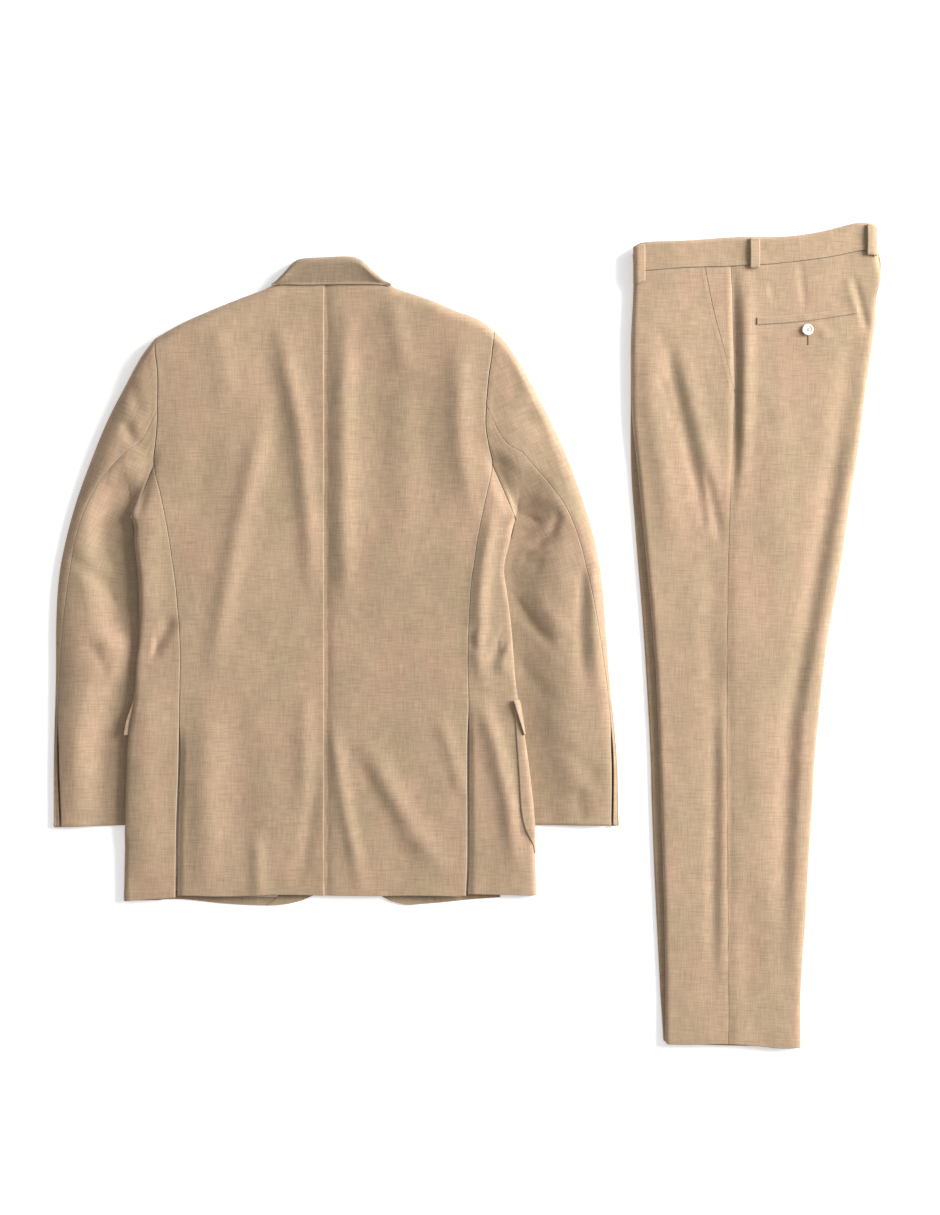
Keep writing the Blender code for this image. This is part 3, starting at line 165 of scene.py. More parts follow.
def relief(folds: Table, x: Array, y: Array) -> Array:
    """Height that the highest ridge and the deepest trough add at places.

    Args:
        folds: rows of half width, height, and the x and y of each point of the fold's line.
        x: places across.
        y: places up.

    Returns:
        The height at each place. Each fold fades out to both its ends.
    """
    ridge = np.zeros(np.broadcast(x, y).shape)
    trough = ridge.copy()
    for width, height, *line in folds:
        ends = np.array(line).reshape(-1, 2)
        lengths = np.hypot(*np.diff(ends, axis=0).T)
        away, place, before = np.full(ridge.shape, np.inf), ridge * 0, 0.0
        for (x0, y0), (x1, y1), length in zip(ends, ends[1:], lengths):
            t = np.clip(((x - x0) * (x1 - x0) + (y - y0) * (y1 - y0)) / length**2, 0, 1)
            here = np.hypot(x - lerp(x0, x1, t), y - lerp(y0, y1, t))
            place = np.where(here < away, (before + t * length) / lengths.sum(), place)
            away = np.minimum(away, here)
            before += length
        rise = height * bump(away, width) * smooth(np.minimum(place, 1 - place) / 0.3)
        ridge, trough = np.maximum(ridge, rise), np.minimum(trough, rise)
    return ridge + trough


@dataclass(frozen=True)
class Unevenness:
    """Seeded soft noise over a plane, for cloth that never lies quite flat.

    Args:
        seed: picks the pattern.
        across: size of a swell across.
        up: size of a swell up.
        height: highest swell above the mean.
        lattice: points along each side of the pattern, which then repeats.
    """

    seed: int
    across: float
    up: float
    height: float
    lattice: int = 64

    def at(self, x: Array, y: Array) -> Array:
        """Height of the noise at places."""
        grid = np.random.default_rng(self.seed).uniform(-1, 1, (self.lattice, self.lattice))
        x, y = np.asarray(x, float) / self.across, np.asarray(y, float) / self.up
        i, j = np.floor(x).astype(int), np.floor(y).astype(int)
        s, t = smooth(x - i), smooth(y - j)
        corner = [[grid[(i + a) % self.lattice, (j + b) % self.lattice] for b in (0, 1)] for a in (0, 1)]
        low, high = lerp(corner[0][0], corner[1][0], s), lerp(corner[0][1], corner[1][1], s)
        return self.height * lerp(low, high, t)


# Node trees


class Board:
    """A node tree with short calls that add and link its nodes."""

    def __init__(self, tree: bpy.types.NodeTree) -> None:
        """Works on a tree."""
        self.tree = tree

    def add(self, kind: str, settings: Optional[dict] = None, **inputs: object) -> bpy.types.Node:
        """Adds a node.

        Args:
            kind: the node's type name.
            settings: the node's own properties by name.
            inputs: socket values or links by socket name, with _ for a space.

        Returns:
            The node.
        """
        node = self.tree.nodes.new(kind)
        for name, value in (settings or {}).items():
            setattr(node, name, value)
        for name, value in inputs.items():
            self.feed(node.inputs[name.replace("_", " ")], value)
        return node

    def feed(self, socket: bpy.types.NodeSocket, value: object) -> None:
        """Links a socket to another one, or sets its value."""
        if isinstance(value, bpy.types.NodeSocket):
            self.tree.links.new(value, socket)
        else:
            socket.default_value = value

    def math(self, operation: str, *values: object) -> bpy.types.NodeSocket:
        """Output of a Math node on one to three values."""
        node = self.tree.nodes.new("ShaderNodeMath")
        node.operation = operation
        for socket, value in zip(node.inputs, values):
            self.feed(socket, value)
        return node.outputs[0]

    def mix(self, factor: object, a: object, b: object, blend: str = "MIX") -> bpy.types.NodeSocket:
        """Colour output of a Mix node."""
        node = self.tree.nodes.new("ShaderNodeMix")
        node.data_type = "RGBA"
        node.blend_type = blend
        self.feed(node.inputs[0], factor)
        self.feed(node.inputs[6], a)
        self.feed(node.inputs[7], b)
        return node.outputs[2]

    def ramp(self, value: object, low: float, high: float) -> bpy.types.NodeSocket:
        """0 to 1 as a value goes from low to high, with soft ends."""
        settings = {"interpolation_type": "SMOOTHSTEP"}
        node = self.add("ShaderNodeMapRange", settings, From_Min=low, From_Max=high)
        self.feed(node.inputs["Value"], value)
        return node.outputs["Result"]

    def noise(self, x: object, y: object, detail: float = 2.0, shift: float = 0.0) -> bpy.types.NodeSocket:
        """Noise about one unit wide at a place of two coordinates."""
        place = self.add("ShaderNodeCombineXYZ", X=self.math("ADD", x, shift), Y=self.math("ADD", y, shift))
        node = self.add("ShaderNodeTexNoise", {"noise_dimensions": "2D"}, Scale=1.0, Detail=detail)
        self.feed(node.inputs["Vector"], place.outputs[0])
        return node.outputs[0]

    def in_millimetres(self, place: object) -> tuple[bpy.types.NodeSocket, bpy.types.NodeSocket]:
        """The first two coordinates of a place in metres, in millimetres."""
        scaled = self.add("ShaderNodeVectorMath", {"operation": "SCALE"}, Scale=1 / MM)
        self.feed(scaled.inputs[0], place)
        part = self.add("ShaderNodeSeparateXYZ", Vector=scaled.outputs[0])
        return part.outputs[0], part.outputs[1]

    def emboss(self, shader: bpy.types.Node, height: object, strength: float, depth: float) -> None:
        """Raises a shader's surface by a height, to a depth in millimetres."""
        raised = self.add("ShaderNodeBump", Strength=strength, Distance=depth * MM)
        self.feed(raised.inputs["Height"], height)
        self.feed(shader.inputs["Normal"], raised.outputs[0])


def new_group(name: str, inputs: dict[str, float], outputs: tuple[str, ...]) -> tuple[Board, dict, dict]:
    """Starts a shader node group that reads a place on the cloth.

    Args:
        name: the group's name.
        inputs: number inputs and their first values. Place is added to them.
        outputs: number outputs.

    Returns:
        The board, its input sockets and its output sockets, both by name.
    """
    tree = bpy.data.node_groups.new(name, "ShaderNodeTree")
    tree.interface.new_socket("Place", in_out="INPUT", socket_type="NodeSocketVector")
    for word, value in inputs.items():
        socket = tree.interface.new_socket(word, in_out="INPUT", socket_type="NodeSocketFloat")
        socket.default_value = value
    for word in outputs:
        tree.interface.new_socket(word, in_out="OUTPUT", socket_type="NodeSocketFloat")
    entry = tree.nodes.new("NodeGroupInput")
    end = tree.nodes.new("NodeGroupOutput")
    return Board(tree), {s.name: s for s in entry.outputs}, {s.name: s for s in end.inputs}


def weave_group() -> bpy.types.NodeTree:
    """A plain weave of uneven yarns: its tone, its odd dark yarns and its height."""
    known = bpy.data.node_groups.get("slub_weave")
    if known:
        return known
    sizes = {"Yarn": 0.7, "Slub": 26.0}
    board, entry, end = new_group("slub_weave", sizes, ("Tone", "Dark Yarns", "Height"))
    x, y = board.in_millimetres(entry["Place"])
    yarn, slub = entry["Yarn"], entry["Slub"]
    thick = board.math("MULTIPLY", yarn, 2.4)
    warp = board.noise(board.math("DIVIDE", x, thick), board.math("DIVIDE", y, slub), 3.0, 3.7)
    weft = board.noise(board.math("DIVIDE", x, slub), board.math("DIVIDE", y, thick), 3.0, 41.3)
    both = board.math("ADD", board.math("MULTIPLY", warp, 0.5), board.math("MULTIPLY", weft, 0.5))
    board.feed(end["Tone"], both)
    length = board.math("MULTIPLY", slub, 2.2)
    single = board.math("MULTIPLY", yarn, 2.2)
    odd_weft = board.noise(board.math("DIVIDE", x, length), board.math("DIVIDE", y, single), 1.0, 17.9)
    odd_warp = board.noise(board.math("DIVIDE", x, single), board.math("DIVIDE", y, length), 1.0, 73.1)
    odd = board.math("MAXIMUM", board.ramp(odd_weft, 0.62, 0.74), board.ramp(odd_warp, 0.64, 0.76))
    board.feed(end["Dark Yarns"], odd)
    over = board.math("SINE", board.math("MULTIPLY", board.math("DIVIDE", x, yarn), math.pi))
    under = board.math("SINE", board.math("MULTIPLY", board.math("DIVIDE", y, yarn), math.pi))
    checks = board.math("MULTIPLY", over, under)
    height = board.math("ADD", board.math("MULTIPLY", checks, 0.25), board.math("MULTIPLY", both, 1.6))
    board.feed(end["Height"], height)
    return board.tree


def patch_group() -> bpy.types.NodeTree:
    """Soft uneven patches of dye: where the cloth is warmer, cooler and paler."""
    known = bpy.data.node_groups.get("dye_patches")
    if known:
        return known
    board, entry, end = new_group("dye_patches", {"Size": 60.0}, ("Warm", "Cool", "Pale", "Mottle"))
    x, y = board.in_millimetres(entry["Place"])
    x = board.math("DIVIDE", x, entry["Size"])
    y = board.math("DIVIDE", y, board.math("MULTIPLY", entry["Size"], 1.7))
    board.feed(end["Warm"], board.ramp(board.noise(x, y, 2.0, 5.0), 0.44, 0.66))
    board.feed(end["Cool"], board.ramp(board.noise(x, y, 2.0, 29.0), 0.46, 0.68))
    board.feed(end["Pale"], board.noise(x, y, 3.0, 53.0))
    near_x, near_y = board.math("MULTIPLY", x, 5.2), board.math("MULTIPLY", y, 4.6)
    board.feed(end["Mottle"], board.noise(near_x, near_y, 2.0, 91.0))
    return board.tree


# Finishes


def srgb(red: float, green: float, blue: float) -> tuple[float, float, float, float]:
    """A colour from its 0 to 255 screen values, as the linear one that nodes take."""
    shares = (red / 255, green / 255, blue / 255)
    linear = [c / 12.92 if c <= 0.04045 else ((c + 0.055) / 1.055) ** 2.4 for c in shares]
    return (*linear, 1.0)


def new_material(name: str) -> tuple[bpy.types.Material, Board, bpy.types.Node]:
    """An empty material, its board and its Principled shader."""
    made = bpy.data.materials.new(name)
    made.use_nodes = True
    return made, Board(made.node_tree), made.node_tree.nodes["Principled BSDF"]


@dataclass(frozen=True)
class ClothFinish:
    """A woven cloth with slubs, dye patches, and lighter seam edges: partly pressed cloth, partly a painted
    sheen.

    Args:
        name: the material's name.
        base: the yarn's own colour, as are the next ones, in screen values.
        warm: colour of the warm patches.
        cool: colour of the cool patches.
        dark: colour of the odd dark yarns.
        yarn: width of a yarn.
        slub: length of a slub.
        tone: how far slubs lighten and darken the cloth.
        mottle: how far small patches do.
        paleness: how far large patches do.
        warmth: share of the warm colour in its patches.
        coolness: share of the cool colour in its patches.
        odd_yarns: share of the dark colour in the odd yarns.
        pressed: share of the lighter colour on pressed edges, which is partly the pressed cloth and partly a
            painted sheen.
        roughness: the shader's roughness.
        sheen: the shader's sheen weight.
        relief: height of the weave's bump.
    """

    name: str
    base: tuple[float, float, float]
    warm: tuple[float, float, float]
    cool: tuple[float, float, float]
    dark: tuple[float, float, float]
    yarn: float = 0.7
    slub: float = 20.0
    tone: float = 0.42
    mottle: float = 0.2
    paleness: float = 0.16
    warmth: float = 0.55
    coolness: float = 0.5
    odd_yarns: float = 0.2
    pressed: float = 0.16
    roughness: float = 0.82
    sheen: float = 0.18
    relief: float = 0.16

    def material(self) -> bpy.types.Material:
        """The finish as a material."""
        made, board, shader = new_material(self.name)
        place = board.add("ShaderNodeUVMap", {"uv_map": "grain"}).outputs[0]
        weave = board.add("ShaderNodeGroup", {"node_tree": weave_group()}, Place=place)
        weave.inputs["Yarn"].default_value = self.yarn
        weave.inputs["Slub"].default_value = self.slub
        patches = board.add("ShaderNodeGroup", {"node_tree": patch_group()}, Place=place)
        warm = board.math("MULTIPLY", patches.outputs["Warm"], self.warmth)
        colour = board.mix(warm, srgb(*self.base), srgb(*self.warm))
        cool = board.math("MULTIPLY", patches.outputs["Cool"], self.coolness)
        colour = board.mix(cool, colour, srgb(*self.cool))
        uneven = board.math("SUBTRACT", weave.outputs["Tone"], 0.5)
        lighter = board.math("MULTIPLY_ADD", uneven, self.tone * 2, 1.0)
        pale = board.math("SUBTRACT", patches.outputs["Pale"], 0.5)
        pale = board.math("MULTIPLY_ADD", pale, self.paleness, 1.0)
        mottle = board.math("SUBTRACT", patches.outputs["Mottle"], 0.5)
        pale = board.math("MULTIPLY", pale, board.math("MULTIPLY_ADD", mottle, self.mottle, 1.0))
        level = board.math("MULTIPLY", lighter, pale)
        grey = board.add("ShaderNodeCombineColor", Red=level, Green=level, Blue=level)
        colour = board.mix(1.0, colour, grey.outputs[0], "MULTIPLY")
        dark = board.math("MULTIPLY", weave.outputs["Dark Yarns"], self.odd_yarns)
        colour = board.mix(dark, colour, srgb(*self.dark))
        # Edges that carry the pressed attribute are painted lighter: partly pressed cloth, partly a painted
        # sheen along the seams.
        edge = board.add("ShaderNodeAttribute", {"attribute_name": "pressed"}).outputs["Fac"]
        pressed_and_sheen_colour = srgb(*(c + (255 - c) * 0.22 for c in self.base))
        colour = board.mix(board.math("MULTIPLY", edge, self.pressed), colour, pressed_and_sheen_colour)
        board.feed(shader.inputs["Base Color"], colour)
        board.feed(shader.inputs["Roughness"], board.math("MULTIPLY_ADD", uneven, 0.2, self.roughness))
        shader.inputs["Sheen Weight"].default_value = self.sheen
        shader.inputs["Sheen Roughness"].default_value = 0.5
        shader.inputs["Specular IOR Level"].default_value = 0.3
        board.emboss(shader, weave.outputs["Height"], 0.6, self.relief)
        return made


@dataclass(frozen=True)
class PearlFinish:
    """A polished shell button: milky, with faint warm and grey-green clouds.

    Args:
        name: the material's name.
        milk: its main colour in screen values.
        cloud: colour of its clouds.
        cloud_size: width of a cloud.
    """

    name: str
    milk: tuple[float, float, float] = (236, 231, 221)
    cloud: tuple[float, float, float] = (206, 200, 182)
    cloud_size: float = 3.0

    def material(self) -> bpy.types.Material:
        """The finish as a material."""
        made, board, shader = new_material(self.name)
        place = board.add("ShaderNodeTexCoord").outputs["Object"]
        noise = board.add("ShaderNodeTexNoise", Scale=1 / (self.cloud_size * MM), Detail=3.0, Distortion=1.2)
        board.feed(noise.inputs["Vector"], place)
        cloud = board.ramp(noise.outputs[0], 0.42, 0.66)
        board.feed(shader.inputs["Base Color"], board.mix(cloud, srgb(*self.milk), srgb(*self.cloud)))
        board.feed(shader.inputs["Roughness"], board.math("MULTIPLY_ADD", cloud, 0.12, 0.2))
        shader.inputs["Coat Weight"].default_value = 0.5
        shader.inputs["Coat Roughness"].default_value = 0.12
        board.emboss(shader, noise.outputs[0], 0.15, 0.1)
        return made


@dataclass(frozen=True)
class ThreadFinish:
    """Sewing thread: plied, with a soft sheen and painted shade in the grooves of its twist.

    Args:
        name: the material's name.
        colour: its colour in screen values.
        ply: length of one twist.
    """

    name: str
    colour: tuple[float, float, float]
    ply: float = 0.6

    def material(self) -> bpy.types.Material:
        """The finish as a material."""
        made, board, shader = new_material(self.name)
        place = board.add("ShaderNodeTexCoord").outputs["Object"]
        wave = board.add("ShaderNodeTexWave", {"bands_direction": "DIAGONAL"}, Scale=0.3 / (self.ply * MM))
        board.feed(wave.inputs["Vector"], place)
        # The twist's grooves are painted darker: painted shade between the plies.
        deep = srgb(*(c * 0.72 for c in self.colour))
        board.feed(shader.inputs["Base Color"], board.mix(wave.outputs["Fac"], deep, srgb(*self.colour)))
        board.feed(shader.inputs["Roughness"], board.math("MULTIPLY_ADD", wave.outputs["Fac"], -0.1, 0.65))
        board.emboss(shader, wave.outputs["Fac"], 0.5, 0.08)
        return made


@dataclass(frozen=True)
class FloorFinish:
    """A plain pale studio floor, with a faint grain.

    Args:
        name: the material's name.
        colour: its colour in screen values.
        glow: how far it lightens its own shadows.
    """

    name: str = "studio_floor"
    colour: tuple[float, float, float] = (250, 250, 250)
    glow: float = 0.3

    def material(self) -> bpy.types.Material:
        """The finish as a material."""
        made, board, shader = new_material(self.name)
        place = board.add("ShaderNodeTexCoord").outputs["Object"]
        noise = board.add("ShaderNodeTexNoise", Scale=40.0, Detail=2.0)
        board.feed(noise.inputs["Vector"], place)
        shader.inputs["Base Color"].default_value = srgb(*self.colour)
        board.feed(shader.inputs["Roughness"], board.math("MULTIPLY_ADD", noise.outputs[0], 0.1, 0.85))
        shader.inputs["Specular IOR Level"].default_value = 0.1
        shader.inputs["Emission Color"].default_value = srgb(*self.colour)
        shader.inputs["Emission Strength"].default_value = self.glow
        return made


@dataclass
class Wardrobe:
    """The finishes of the suit, each made once."""

    suiting: bpy.types.Material = field(init=False)
    lining: bpy.types.Material = field(init=False)
    button: bpy.types.Material = field(init=False)
    # the collar's suiting, painted darker as painted shade
    collar: bpy.types.Material = field(init=False)
    thread: bpy.types.Material = field(init=False)
    dark_thread: bpy.types.Material = field(init=False)

    def __post_init__(self) -> None:
        """Makes the materials."""
        suiting = ClothFinish(
            "linen_suiting", (154, 131, 106), (159, 130, 107), (143, 125, 98), (116, 88, 64)
        )
        lining = ClothFinish(
            "body_lining", (214, 196, 178), (220, 196, 180), (204, 188, 168), (190, 168, 150),
            yarn=0.3, slub=8.0, tone=0.08, mottle=0.05, roughness=0.5, sheen=0.1, relief=0.05,
        )
        # The collar's cloth is the suiting painted darker: painted shade on the collar, which the light
        # reaches less.
        shaded_collar_finish = ClothFinish(
            "collar_suiting_painted_shade", (139, 119, 97), (143, 118, 98), (130, 114, 91), (106, 82, 62)
        )
        self.suiting = suiting.material()
        self.collar = shaded_collar_finish.material()
        self.lining = lining.material()
        self.button = PearlFinish("shell_button").material()
        self.thread = ThreadFinish("matching_thread", (196, 170, 134)).material()
        self.dark_thread = ThreadFinish("buttonhole_thread", (128, 98, 70)).material()


# Cloth shells


def add_piece(name: str, mesh: bpy.types.Mesh, node: Optional[str] = None) -> bpy.types.Object:
    """Puts a finished mesh in the scene as a piece of the root body.

    Args:
        name: the piece's name.
        mesh: its mesh, with its material.
        node: the CAD node that it replaces, if any.

    Returns:
        The piece.
    """
    piece = bpy.data.objects.new(name, mesh)
    bpy.context.scene.collection.objects.link(piece)
    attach(piece, "root")
    if node:
        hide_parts(node)
    LOG.info("%s: %d faces", piece.name, len(mesh.polygons))
    return piece


def add_cloth(node: str, mesh: bpy.types.Mesh) -> None:
    """Puts a cloth piece in the scene in place of its CAD node.

    Args:
        node: the CAD node that it replaces.
        mesh: its mesh, with its material.
    """
    piece = add_piece(mesh.name, mesh, node)


@dataclass(frozen=True)
class Edge:
    """How a piece's edge is finished.

    Args:
        drop: how far its outer side rolls down at the very edge.
        roll: how wide that roll is.
        lift: height of the ridge that the layers inside make.
        reach: how far in that ridge is.
        step: lasting height at the edge, up or down, that fades inwards.
        fade: how far in the step fades.
    """

    drop: float = 0.5
    roll: float = 1.6
    lift: float = 0.25
    reach: float = 5.0
    step: float = 0.0
    fade: float = 14.0

    def height(self, distance: Array) -> Array:
        """Height that the edge adds at a distance from it."""
        ridge = self.lift * bump(distance - self.reach, self.reach * 0.6)
        rolled = self.drop * (1 - quarter(distance / self.roll))
        return ridge - rolled + self.step * bump(distance, self.fade)


EDGE_STEPS = (0.35, 0.8, 1.5, 2.4)  # rows this far in from an edge shape its roll
CLOSEST_ROWS = 0.00012  # rows nearer than this share of them all are one
PUCKER = (16.0, 16.0, 0.22)  # width, length and share of the swells along seams
BOLT = 3000.0  # the pieces are cut from a square of cloth with this side
# how wide the lighter edges are, partly pressed cloth and partly painted sheen
PRESSED_AND_SHEEN_WIDTH = 1.8
SHARP_ANGLE = math.radians(55)
PLAIN = Edge(drop=0.0, lift=0.0)
SEWN = Edge()
FOLDED = Edge(drop=0.75, roll=1.3, lift=0.0)
ALL_FOLDED = (FOLDED, FOLDED, FOLDED, FOLDED)
HEMMED = Edge(drop=0.8, roll=1.3, lift=0.2, reach=8.0)


@dataclass
class Shell:
    """A closed thin cloth piece on a surface, which replaces its solid.

    Args:
        node: the CAD node that it stands for.
        surface: its outer side, from rows and stations.
        rows: values that the surface needs a row at.
        stations: the same across.
        at: the garment's origin.
        outward: -1 where the surface's own normal points into the cloth.
        edges: how its first and last station and its first and last row are finished.
        spacing: widest step of its grid.
        slot: the record's material slot.
        thickness: of the cloth.
        raised: how far it lies above the surface.
        grain: weft and warp distances at a place, where they aren't x and y.
        seed: picks where on the bolt the piece is cut.
    """

    node: str
    surface: Surface
    rows: list[float]
    stations: list[float]
    at: tuple[float, float]
    outward: int
    held: str = "laid"
    edges: tuple[Edge, Edge, Edge, Edge] = (SEWN, SEWN, HEMMED, SEWN)
    spacing: float = 3.6
    slot: Slot = Slot.SUITING
    thickness: float = CLOTH
    raised: float = 0.0
    grain: Optional[Callable[[Array, Array], tuple[Array, Array]]] = None
    seed: int = 1

    def grid(self, rows: list[float], stations: list[float]) -> Array:
        """The surface's points at rows and stations."""
        return self.surface(np.array(rows, float)[:, None], np.array(stations, float)[None, :])

    def finer(self) -> tuple[list[float], list[float]]:
        """Rows and stations that are close enough together, and closer still at the edges."""
        points = self.grid(self.rows, self.stations)
        up = np.linalg.norm(np.diff(points, axis=0), axis=-1).max(axis=1)
        across = np.linalg.norm(np.diff(points, axis=1), axis=-1).max(axis=0)
        rows = self.divide(self.rows, up, self.edges[2:])
        return rows, self.divide(self.stations, across, self.edges[:2])

    def divide(self, values: list[float], lengths: Array, ends: tuple[Edge, Edge]) -> list[float]:
        """Values with more between them.

        Args:
            values: the values that must stay.
            lengths: the widest stretch of cloth between each two.
            ends: the edges at the first and last value.

        Returns:
            The finer values.
        """
        found = set(values)
        for start, end, length in zip(values, values[1:], lengths):
            found |= set(spread(start, end, max(1, math.ceil(length / self.spacing))))
        for edge, first, other, length in (
            (ends[0], values[0], values[1], lengths[0]),
            (ends[1], values[-1], values[-2], lengths[-1]),
        ):
            if edge.drop:
                found |= {lerp(first, other, step / length) for step in EDGE_STEPS if step < length}
        ordered = sorted(found)
        close = CLOSEST_ROWS * abs(values[-1] - values[0])
        return [v for v, after in zip(ordered, ordered[1:] + [math.inf]) if after - v > close]

    def distances(self, points: Array) -> list[Array]:
        """Each point's distance along the cloth from the four edges."""
        across = np.linalg.norm(np.diff(points, axis=1), axis=-1)
        across = np.pad(np.cumsum(across, axis=1), ((0, 0), (1, 0)))
        up = np.linalg.norm(np.diff(points, axis=0), axis=-1)
        up = np.pad(np.cumsum(up, axis=0), ((1, 0), (0, 0)))
        return [across, across[:, -1:] - across, up, up[-1:] - up]

    def normals(self, points: Array) -> Array:
        """Unit normals of a grid of points, out of the cloth."""
        across, up = np.empty_like(points), np.empty_like(points)
        across[:, 1:-1] = points[:, 2:] - points[:, :-2]
        across[:, 0], across[:, -1] = points[:, 1] - points[:, 0], points[:, -1] - points[:, -2]
        up[1:-1] = points[2:] - points[:-2]
        up[0], up[-1] = points[1] - points[0], points[-1] - points[-2]
        out = np.cross(across, up) * self.outward
        return out / np.maximum(np.linalg.norm(out, axis=-1, keepdims=True), 1e-9)

    def faces(self, rows: int, columns: int) -> Array:
        """Quads of a wall whose outer grid is followed by its inner grid."""
        outer = np.arange(rows * columns).reshape(rows, columns)
        inner = outer + rows * columns

        def strip(a: Array, b: Array) -> Array:
            """Quads between an outer line a and the inner line b below it."""
            return np.stack([a[:-1], b[:-1], b[1:], a[1:]], axis=-1).reshape(-1, 4)

        corners = [outer[:-1, :-1], outer[:-1, 1:], outer[1:, 1:], outer[1:, :-1]]
        top = np.stack(corners, axis=-1).reshape(-1, 4)
        low = top[:, ::-1] + rows * columns
        sides = [
            strip(outer[0], inner[0]), strip(outer[-1], inner[-1])[:, ::-1],
            strip(outer[:, 0], inner[:, 0])[:, ::-1], strip(outer[:, -1], inner[:, -1]),
        ]
        quads = np.concatenate([top, low, *sides])
        return quads if self.outward > 0 else quads[:, ::-1]

    def finish(self, wardrobe: Wardrobe) -> bpy.types.Material:
        """The wardrobe's finish for this piece: the collar and the collar ends get the suiting painted
        darker, as painted shade.
        """
        if self.slot is Slot.LINING:
            return wardrobe.lining
        return wardrobe.collar if self.node.startswith("collar") else wardrobe.suiting

    def build(self, wardrobe: Wardrobe) -> None:
        rows, stations = self.finer()
        points = self.grid(rows, stations)
        away = self.distances(points)
        out = self.normals(points)
        pucker = 1 + Unevenness(self.seed, *PUCKER).at(points[..., 0], points[..., 1])
        rise = sum(edge.height(distance) for edge, distance in zip(self.edges, away)) * pucker
        outer = points + out * (self.raised + rise)[..., None]
        inner = points + out * (self.raised - self.thickness)
        mesh = bpy.data.meshes.new(f"{self.node}_cloth")
        places = np.concatenate([outer.reshape(-1, 3), inner.reshape(-1, 3)])
        places += np.array([*self.at, 0.0])
        places[:, 2] = np.maximum(places[:, 2], 0.0)  # nothing goes below the floor
        mesh.from_pydata((places * MM).tolist(), [], self.faces(len(rows), len(stations)).tolist())
        self.map_grain(mesh, points)
        self.mark_pressed_and_sheen_edges(mesh, away)
        mesh.shade_smooth()
        mesh.set_sharp_from_angle(angle=SHARP_ANGLE)
        mesh.materials.append(self.finish(wardrobe))
        add_cloth(self.node, mesh)

    def map_grain(self, mesh: bpy.types.Mesh, points: Array) -> None:
        """Gives the mesh a UV map, in metres along the cloth's weft and warp."""
        x, y = points[..., 0], points[..., 1]
        u, v = self.grain(x, y) if self.grain else (x, y)
        shift = np.random.default_rng(self.seed).uniform(0, BOLT, 2)
        place = np.stack([u.ravel() + shift[0], v.ravel() + shift[1]], axis=-1) * MM
        place = np.concatenate([place, place])
        corners = np.empty(len(mesh.loops), np.int32)
        mesh.loops.foreach_get("vertex_index", corners)
        layer = mesh.uv_layers.new(name="grain")
        layer.uv.foreach_set("vector", place[corners].astype(np.float32).ravel())

    def mark_pressed_and_sheen_edges(self, mesh: bpy.types.Mesh, away: list[Array]) -> None:
        """Gives the mesh an attribute that is 1 on its pressed edges and 0 inside. The finish paints those
        edges lighter: partly pressed cloth, partly a painted sheen.
        """
        nearest = np.full(away[0].shape, 1e3)
        for edge, distance in zip(self.edges, away):
            if edge.drop:
                nearest = np.minimum(nearest, distance)
        pressed = bump(nearest, PRESSED_AND_SHEEN_WIDTH).ravel()
        values = np.concatenate([pressed, np.zeros_like(pressed)]).astype(np.float32)
        mesh.attributes.new("pressed", "FLOAT", "POINT").data.foreach_set("value", values)


# The jacket's cut

SHOULDER_MID = 7.0  # height of the shoulder's fold
SHOULDER_ROLL = 14.0  # how far in from the fold the body rounds
SIDE_ROLL = 7.0  # the same at the side fold, on the upper side
SIDE_UNDER_ROLL = 3.6
SIDE_MID = 5.0
SIDE_LIFT = 8.2  # the body's edge lies this high on the sleeve
LIFT_ROWS = (55.0, 82.0, 440.0, 468.0)  # and rises to it between these rows
LIFT_REACH = (14.5, 30.0)
SIDE_PANEL_UNDER = 46.0  # how far the side panel goes round under the body
EVEN_BACK = 700.0  # lengths over which a piece's rows are level
EVEN_SIDE = 460.0

# up from the hem, height of the back at the centre seam, height at its outer seam
BACK_HEIGHTS = ((-8, 9.6, 10.8), (100, 9.8, 12), (250, 10, 13.5), (400, 10.5, 14), (500, 11.5, 15),
                (600, 13, 18), (680, 14, 21), (765, 12.5, 20))

INSIDE_ROOM = 5.0  # the body's upper side stays this far above its underside

BODY_DEPTH = 1.35  # how deep the folds are beside their table's heights

# Folds at the top of the arms, which cross from the body to the sleeve
ARM_FOLDS = ((7, -2.6, -208, 566, -222, 520, -234, 470), (8, -3.4, 203, 566, 224, 506, 244, 462))
